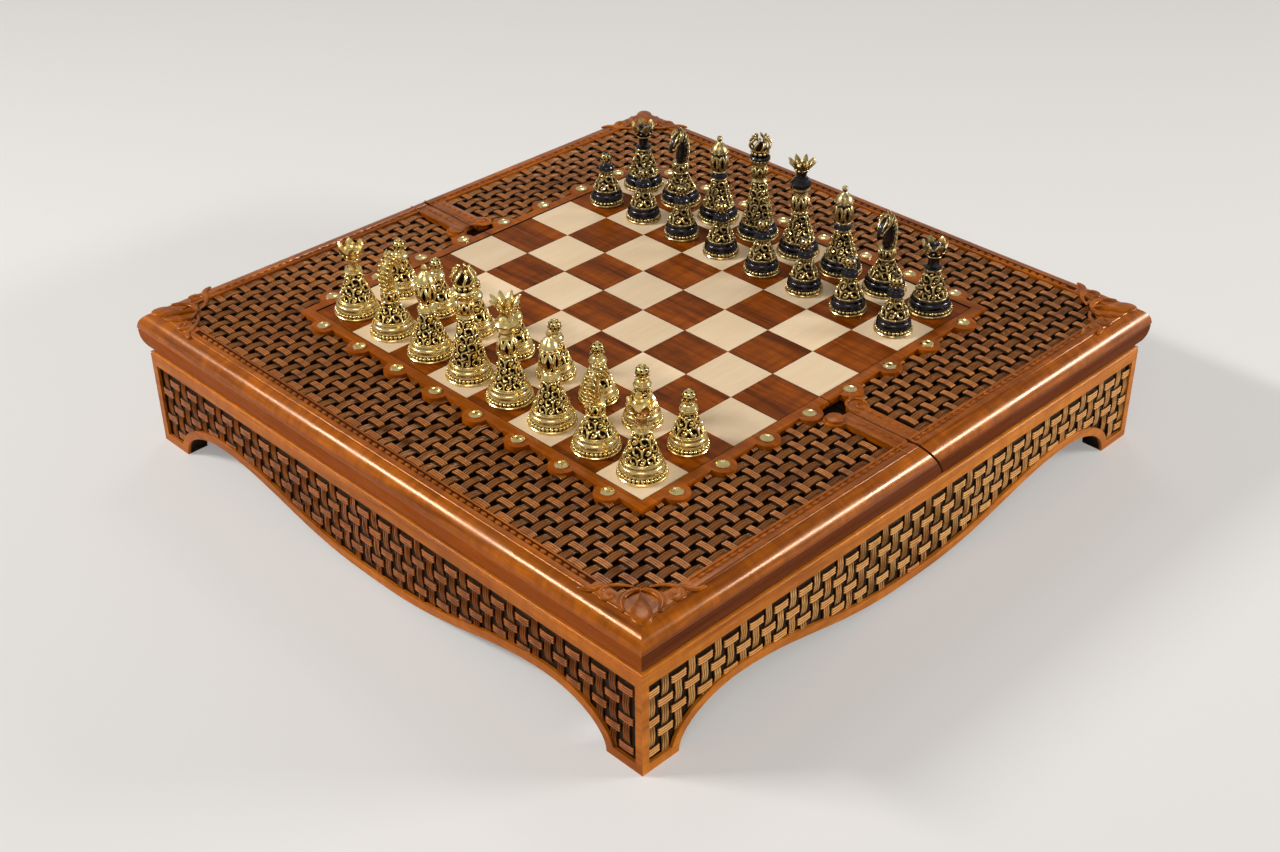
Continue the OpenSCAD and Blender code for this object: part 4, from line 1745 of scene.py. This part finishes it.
@dataclass
class Rook(Chessman):
    """A rook: a plain neck under a cup of six leaves."""

    def head(self) -> None:
        """Collar, neck, cup and leaves."""
        z, cup = self.collar, self.height - 12
        rise = cup - z
        self.ring(7.2, z + 0.6, 0.9)
        self.lathe("neck", Role.BODY, 28, [
            (0, 0), (6.2, 0), (6.9, 1.4), (6.6, 2.6), (4.8, 3.6), (4.3, 6), (4.3, rise - 3),
            (5.4, rise - 1.6), (5.4, rise - 0.4), (6.2, rise), (8, rise + 4), (8.3, rise + 6),
            (6.6, rise + 6.4), (5.8, rise + 5), (0, rise + 5)], z)
        self.ring(5.9, cup - 0.9, 0.7)
        self.beads(12, 7.9, cup + 3.4, 0.9)
        self.leaves(6, 7.5, cup + 4.2, 7.8, 6.6, 16)

    def leaves(self, count: int, ring: float, z: float, tall: float, wide: float, lean: float) -> None:
        """A ring of upright leaves.

        Args:
            count: how many.
            ring: radius at their feet.
            z: height of their feet.
            tall: height of a leaf.
            wide: width of a leaf.
            lean: how far they lean out, in degrees.
        """
        shape = [(-0.24, 0), (0.24, 0), (0.5, 0.45), (0.3, 0.78), (0, 1.0), (-0.3, 0.78), (-0.5, 0.45)]
        leaf = drawn_out(outline("leaf", [mm(0.6, a * wide, b * tall) for a, b in shape]), mm(-1.3, 0))
        with editing(leaf):
            pick(leaf, "faces", lambda face: abs(face.normal.x) > 0.9)
            bpy.ops.mesh.inset(thickness=0.9 * MM, depth=0.35 * MM, use_individual=True)
        self.add(repeated("leaves", leaf, around(count, ring, z, 0.5, lean)), Role.GILT, 40)


@dataclass
class Knight(Chessman):
    """A knight: a horse's head with a beaded mane, which looks along +Y."""

    def head(self) -> None:
        """Ring, pierced neck, ring, and the horse's head."""
        z = self.collar
        self.ring(7.2, z + 0.4, 0.9)
        self.bulb(Bulb(z + 0.6, z + 8.4, 5.4, 6.5, 5.4, 8, 0.28, 1.1))
        self.ring(7.2, z + 8.8, 1.1)
        self.skull(z + 9.2)
        self.relief(z + 9.2)

    def skull(self, base: float) -> None:
        """The head's plain form, from sections that stand across its middle line.

        Args:
            base: the height of its foot.
        """
        path = [(0.0, 0.0, 6.0, 4.4, 90), (-1.5, 8.0, 6.3, 4.4, 80), (-2.0, 15.0, 6.0, 4.2, 70),
                (-1.0, 21.0, 5.4, 3.8, 50), (2.5, 24.5, 4.5, 3.4, 10), (6.5, 22.2, 3.9, 3.0, -40),
                (9.3, 18.6, 3.0, 2.5, -52), (11.2, 15.4, 2.8, 2.3, -58), (12.0, 13.6, 1.9, 1.7, -62)]
        rings = []
        for y, up, deep, wide, way in path:
            across = Vector((0, -math.sin(math.radians(way)), math.cos(math.radians(way))))
            rings.append([(Vector((wide * math.cos(a), y, base + up)) + across * deep * math.sin(a)) * MM
                          for a in (math.tau * step / 10 for step in range(10))])
        skull = lofted("skull", rings)
        apply_modifier(skull, "SUBSURF", levels=1, render_levels=1)
        self.add(skull, Role.BODY, 180)

    def relief(self, base: float) -> None:
        """The mane, its locks, the cheeks, the brows, the ears, the eyes and the nostrils.

        Args:
            base: the height of the head's foot.
        """
        crest = rounded([(-6.2, 1.5), (-8.3, 8.5), (-8.3, 16.5), (-6.0, 24.5), (0.8, 29.2), (4.8, 28.2)], 1)
        self.balls("mane", 1.5, [at(0, y, base + up) for y, up in crest])
        lock = [(1.0, 0, 0.4), (3.0, 1.2, 0.2), (4.5, 3.0, -2.0), (4.9, 3.4, -4.6), (4.5, 5.0, -5.6)]
        cheek = [(2.0, 4.4, 27.4), (3.0, 7.6, 24.0), (2.4, 11.2, 18.2)]
        brow = [(3.4, 3.0, 21.0), (3.2, 6.4, 18.8), (2.4, 9.4, 15.4)]
        ear = [(1.6, 0.8, 27.6), (1.9, 0.9, 30.4), (1.4, 1.9, 32.6)]
        lines = []
        for side in (-1, 1):
            lines += [[mm(side * x, y + dy, base + up + dz) for x, dy, dz in lock] for y, up in crest[1:-2]]
            lines += [[mm(side * x, y, base + up) for x, y, up in line] for line in (cheek, brow, ear)]
        self.add(tubes("locks", lines, 0.95, 0.45), Role.GILT, 60)
        for size, spots in ((2.5, [(2.2, 3.4, 21.4)]), (0.9, [(3.1, 5.6, 24.0), (1.9, 11.4, 15.2)])):
            self.balls("features", size, [at(side * x, y, base + up)
                                          for x, y, up in spots for side in (-1, 1)])


@dataclass
class Bishop(Chessman):
    """A bishop: a pierced bulb under a pointed cap."""

    def head(self) -> None:
        """Collar, bulb, cap and finial."""
        z, tip = self.collar, self.height - self.collar
        self.ring(7.4, z + 0.6, 1.0)
        self.lathe("collar", Role.BODY, 24, [
            (0, 0), (6.4, 0), (7.6, 1.8), (7.2, 3.0), (5.2, 4.0), (4.4, 5.4), (4.8, 6.4), (0, 6.4)], z)
        self.ring(6.2, z + 6.6, 0.9)
        self.bulb(Bulb(z + 7, z + 22, 4.6, 6.8, 5.2, 7, 0.34, 1.3))
        self.ring(7.4, z + 22.6, 1.0, Role.BODY)
        self.beads(14, 7.2, z + 24.4, 0.95)
        self.lathe("cap", Role.GILT, 24, [
            (0, 23), (7.0, 23), (7.4, 24.6), (6.9, 26), (6.2, 28), (4.2, 30.6), (2.1, tip - 5.6),
            (1.7, tip - 4.6), (0, tip - 4.6)], z)
        self.lathe("finial", Role.GILT, 16, [(0, -5), (1.7, -4.4), (2.4, -2.4), (1.7, -0.6), (0, 0)],
                   self.height)


@dataclass
class Queen(Rook):
    """A queen: a pierced neck, a dark cup and an open crown of eight leaves."""

    def head(self) -> None:
        """Ring, pierced neck, bands, stepped collar and crown."""
        z, top = self.collar, self.height
        self.ring(7.2, z + 0.6, 1.1)
        self.bulb(Bulb(z + 1, z + 13.5, 5.2, 6.8, 5.2, 8, 0.3, 1.25))
        self.beads(12, 6.4, z + 1.8, 1.0)
        self.lathe("band", Role.GILT, 24, [
            (0, 13), (5.4, 13), (6.2, 14), (5.6, 15), (5.4, 18), (6.4, 19.4), (7.4, 20.6), (7.2, 22),
            (0, 22)], z)
        self.lathe("collar", Role.BODY, 28, [
            (0, 21.6), (6.8, 21.6), (6.6, 22.8), (8.4, 24.6), (8.8, 26), (7.6, 27.4), (6.2, 28.4),
            (6.0, 29.6), (4.4, 31), (4.0, 33.4), (5.0, 36), (0, 36)], z)
        self.beads(10, 5.2, top - 9.6, 1.2)
        self.leaves(8, 4.4, top - 9, 10.6, 5.0, 42)
        self.leaves(8, 3.0, top - 8.8, 6.0, 3.2, 16)


@dataclass
class King(Chessman):
    """A king: a pierced waist, a beaded collar and a closed crown of curled flames."""

    def head(self) -> None:
        """Waist, flared band, collar and crown."""
        z, low = self.collar, self.collar + 22.8
        self.lathe("band", Role.GILT, 24, [
            (0, -0.6), (6.0, -0.6), (7.0, 0.4), (6.6, 1.4), (6.0, 2.4), (6.0, 4), (6.6, 5), (0, 5)], z)
        self.bulb(Bulb(z + 4.6, z + 12.4, 5.2, 6.3, 5.2, 8, 0.28, 1.1))
        self.lathe("flare", Role.GILT, 24, [
            (0, 12), (5.4, 12), (6.0, 13), (5.8, 14.6), (7.0, 16.6), (7.2, 17.6), (0, 17.6)], z)
        self.lathe("collar", Role.BODY, 28, [
            (0, 17.4), (6.8, 17.4), (6.8, 18.4), (8.4, 20), (8.7, 21.2), (7.8, 22.4), (5.6, 23),
            (0, 23)], z)
        self.beads(18, 8.0, z + 19.0, 0.95)
        # The crown's core, painted dark as the shade inside its flames.
        self.lathe("crown", Role.HOLE, 20, [
            (0, 0), (5.6, 0), (6.4, 2), (6.4, 4.6), (5.0, 7.5), (3.4, 10), (0, 11)], low)
        self.beads(11, 6.5, low + 2.2, 1.5)
        self.ring(7.0, low + 4.4, 0.8)
        reach = [6.4, 7.4, 8.2, 8.7, 8.8, 8.5, 7.7, 6.6, 5.5, 4.8, 4.9, 5.8, 7.0]
        shares = [step / (len(reach) - 1) for step in range(len(reach))]
        lines = [[polar(radius, math.tau * index / 8 + 0.75 * share,
                        low + 4 + (self.height - 5.2 - low) * min(share * 1.25, 1) ** 0.85)
                  for radius, share in zip(reach, shares)] for index in range(8)]
        self.add(tubes("flames", lines, 1.2, 0.5, 2), Role.GILT, 60)


@dataclass
class ChessSet:
    """Both sides of chessmen on the squares that they start from."""

    case: Case

    def spot(self, column: int, row: int) -> Matrix:
        """The move to the centre of a square."""
        cell, board = self.case.cell, self.case.board
        return at((column + 0.5) * cell - board, (row + 0.5) * cell - board, self.case.top)

    def build(self) -> None:
        """Make each kind once and set out its copies."""
        kinds = {
            "pawn": (Pawn(47, 14.9, 30), range(8)),
            "rook": (Rook(60, 17.8, 35), (0, 7)),
            "knight": (Knight(70, 17.8, 28), (1, 6)),
            "bishop": (Bishop(75, 17.8, 37), (2, 5)),
            "king": (King(90, 17.8, 50), (3,)),
            "queen": (Queen(84, 17.8, 37), (4,)),
        }
        sides = {
            # The dark inside of every chessman is painted shade behind its piercings.
            "white": (Half.FRONT, 0, ("gilt", "gilt", "pierced_dark"), "gilt_brass"),
            "black": (Half.REAR, 7, ("black_patina", "old_gilt", "pierced_dark"), "black_brass"),
        }
        for kind, (maker, columns) in kinds.items():
            master = maker.build(kind)
            for side, (half, home, finishes, slot) in sides.items():
                made = {ROLES[role]: PALETTE.made[finish] for role, finish in zip(Role, finishes)}
                row = home - half.value if kind == "pawn" else home
                turn = turn_z(math.pi if half is Half.REAR else 0)
                for count, column in enumerate(columns, 1):
                    piece = named(copied(master, self.spot(column, row) @ turn), f"{side}_{kind}_{count}")
                    for index, material in enumerate(piece.data.materials):
                        piece.data.materials[index] = made[material]
                    ending = "s" if len(columns) > 1 else ""
                    mount(piece, half.body, slot, f"{side}_{kind}{ending}")
            bpy.data.objects.remove(master)
        for material in ROLES.values():
            bpy.data.materials.remove(material)


# ---- studio ----


@dataclass
class Studio:
    """Pale floor, soft lamps and the camera."""

    place: Spot = (0.8768, -0.8652, 0.8183)
    azimuth: float = 45.534
    elevation: float = 33.261
    roll: float = 0.524
    lens: float = 51.03
    sensor: float = 36.0
    aim: Spot = (0, 0, 0.08)

    def floor(self) -> None:
        """A wide floor, which the camera sees with a little pale light of its own."""
        bpy.ops.mesh.primitive_plane_add(size=14, location=(0, 0, 0))
        floor = fresh("floor")
        material = bpy.data.materials.new("pale_floor")
        material.use_nodes = True
        graph = Graph(material.node_tree)
        seen = graph.add("LightPath").outputs["Is Camera Ray"]
        graph.feed(graph.tree.nodes["Principled BSDF"], {
            "Base Color": graph.mix(seen, (0.7, 0.69, 0.67, 1), (0.54, 0.53, 0.515, 1)), "Roughness": 0.9,
            "Emission Color": (1.0, 0.985, 0.965, 1), "Emission Strength": graph.times(seen, 0.24)})
        floor.data.materials.append(material)

    def lamp(self, name: str, place: Spot, size: Flat, power: float, roll: float = 0) -> None:
        """A soft lamp that faces the box.

        Args:
            name: the lamp's name.
            place: where it stands, in metres.
            size: its width and height.
            power: its power in watts.
            roll: its turn about its own axis, in degrees.
        """
        light = bpy.data.lights.new(name, "AREA")
        light.shape, light.energy, light.color = "RECTANGLE", power, (1.0, 0.975, 0.94)
        light.size, light.size_y = size
        light.spread = math.radians(100)
        facing = (Vector(self.aim) - Vector(place)).to_track_quat("-Z", "Y").to_matrix().to_4x4()
        linked(name, light).matrix_world = Matrix.Translation(place) @ facing @ turn_z(math.radians(roll))

    def world(self) -> None:
        """A pale even surround."""
        world = bpy.context.scene.world = bpy.data.worlds.new("surround")
        world.use_nodes = True
        graph = Graph(world.node_tree)
        path = graph.add("LightPath").outputs
        seen = graph.math("MAXIMUM", path["Is Camera Ray"], path["Is Transmission Ray"])
        seen = graph.math("MAXIMUM", seen, path["Is Glossy Ray"])
        graph.feed(world.node_tree.nodes["Background"], {
            "Color": (1.0, 0.98, 0.95, 1), "Strength": graph.math("MULTIPLY_ADD", seen, 0.28, 0.18)})

    def camera(self) -> None:
        """The camera, at its measured place."""
        azimuth, elevation = math.radians(self.azimuth), math.radians(self.elevation)
        back = Vector((math.sin(azimuth) * math.cos(elevation), -math.cos(azimuth) * math.cos(elevation),
                       math.sin(elevation)))
        right = Vector((0, 0, 1)).cross(back).normalized()
        turn = Matrix((right, back.cross(right), back)).transposed().to_4x4()
        camera = linked("camera", bpy.data.cameras.new("camera"))
        camera.data.lens, camera.data.sensor_width = self.lens, self.sensor
        camera.data.clip_start, camera.data.clip_end = 0.01, 50
        camera.matrix_world = Matrix.Translation(self.place) @ turn @ turn_z(-math.radians(self.roll))
        bpy.context.scene.camera = camera

    def build(self) -> None:
        """Set up the whole studio."""
        self.floor()
        self.world()
        self.lamp("left", (-1.96, -2.1, 1.87), (1.1, 0.2), 27, 18)
        self.lamp("right", (2.28, 2.42, 1.02), (1.3, 0.24), 28, -11)
        self.lamp("back", (-1.1, 1.3, 2.2), (0.8, 0.5), 2)
        self.lamp("front", (1.6, -1.9, 2.2), (1.4, 1.4), 7)
        self.camera()
        bpy.context.scene.view_settings.view_transform = "Standard"


def main() -> None:
    """Build the finishes, the box, the chessmen and the studio in order."""
    logging.basicConfig(level=logging.INFO, format="%(name)s: %(message)s")
    PALETTE.make()
    case = Case.measured()
    for part in (BaseBox(), Board(case), RimRails(case), Lattice(case), CarvedTrim(case), ChessSet(case),
                 Studio()):
        part.build()


if __name__ == "__main__":
    main()
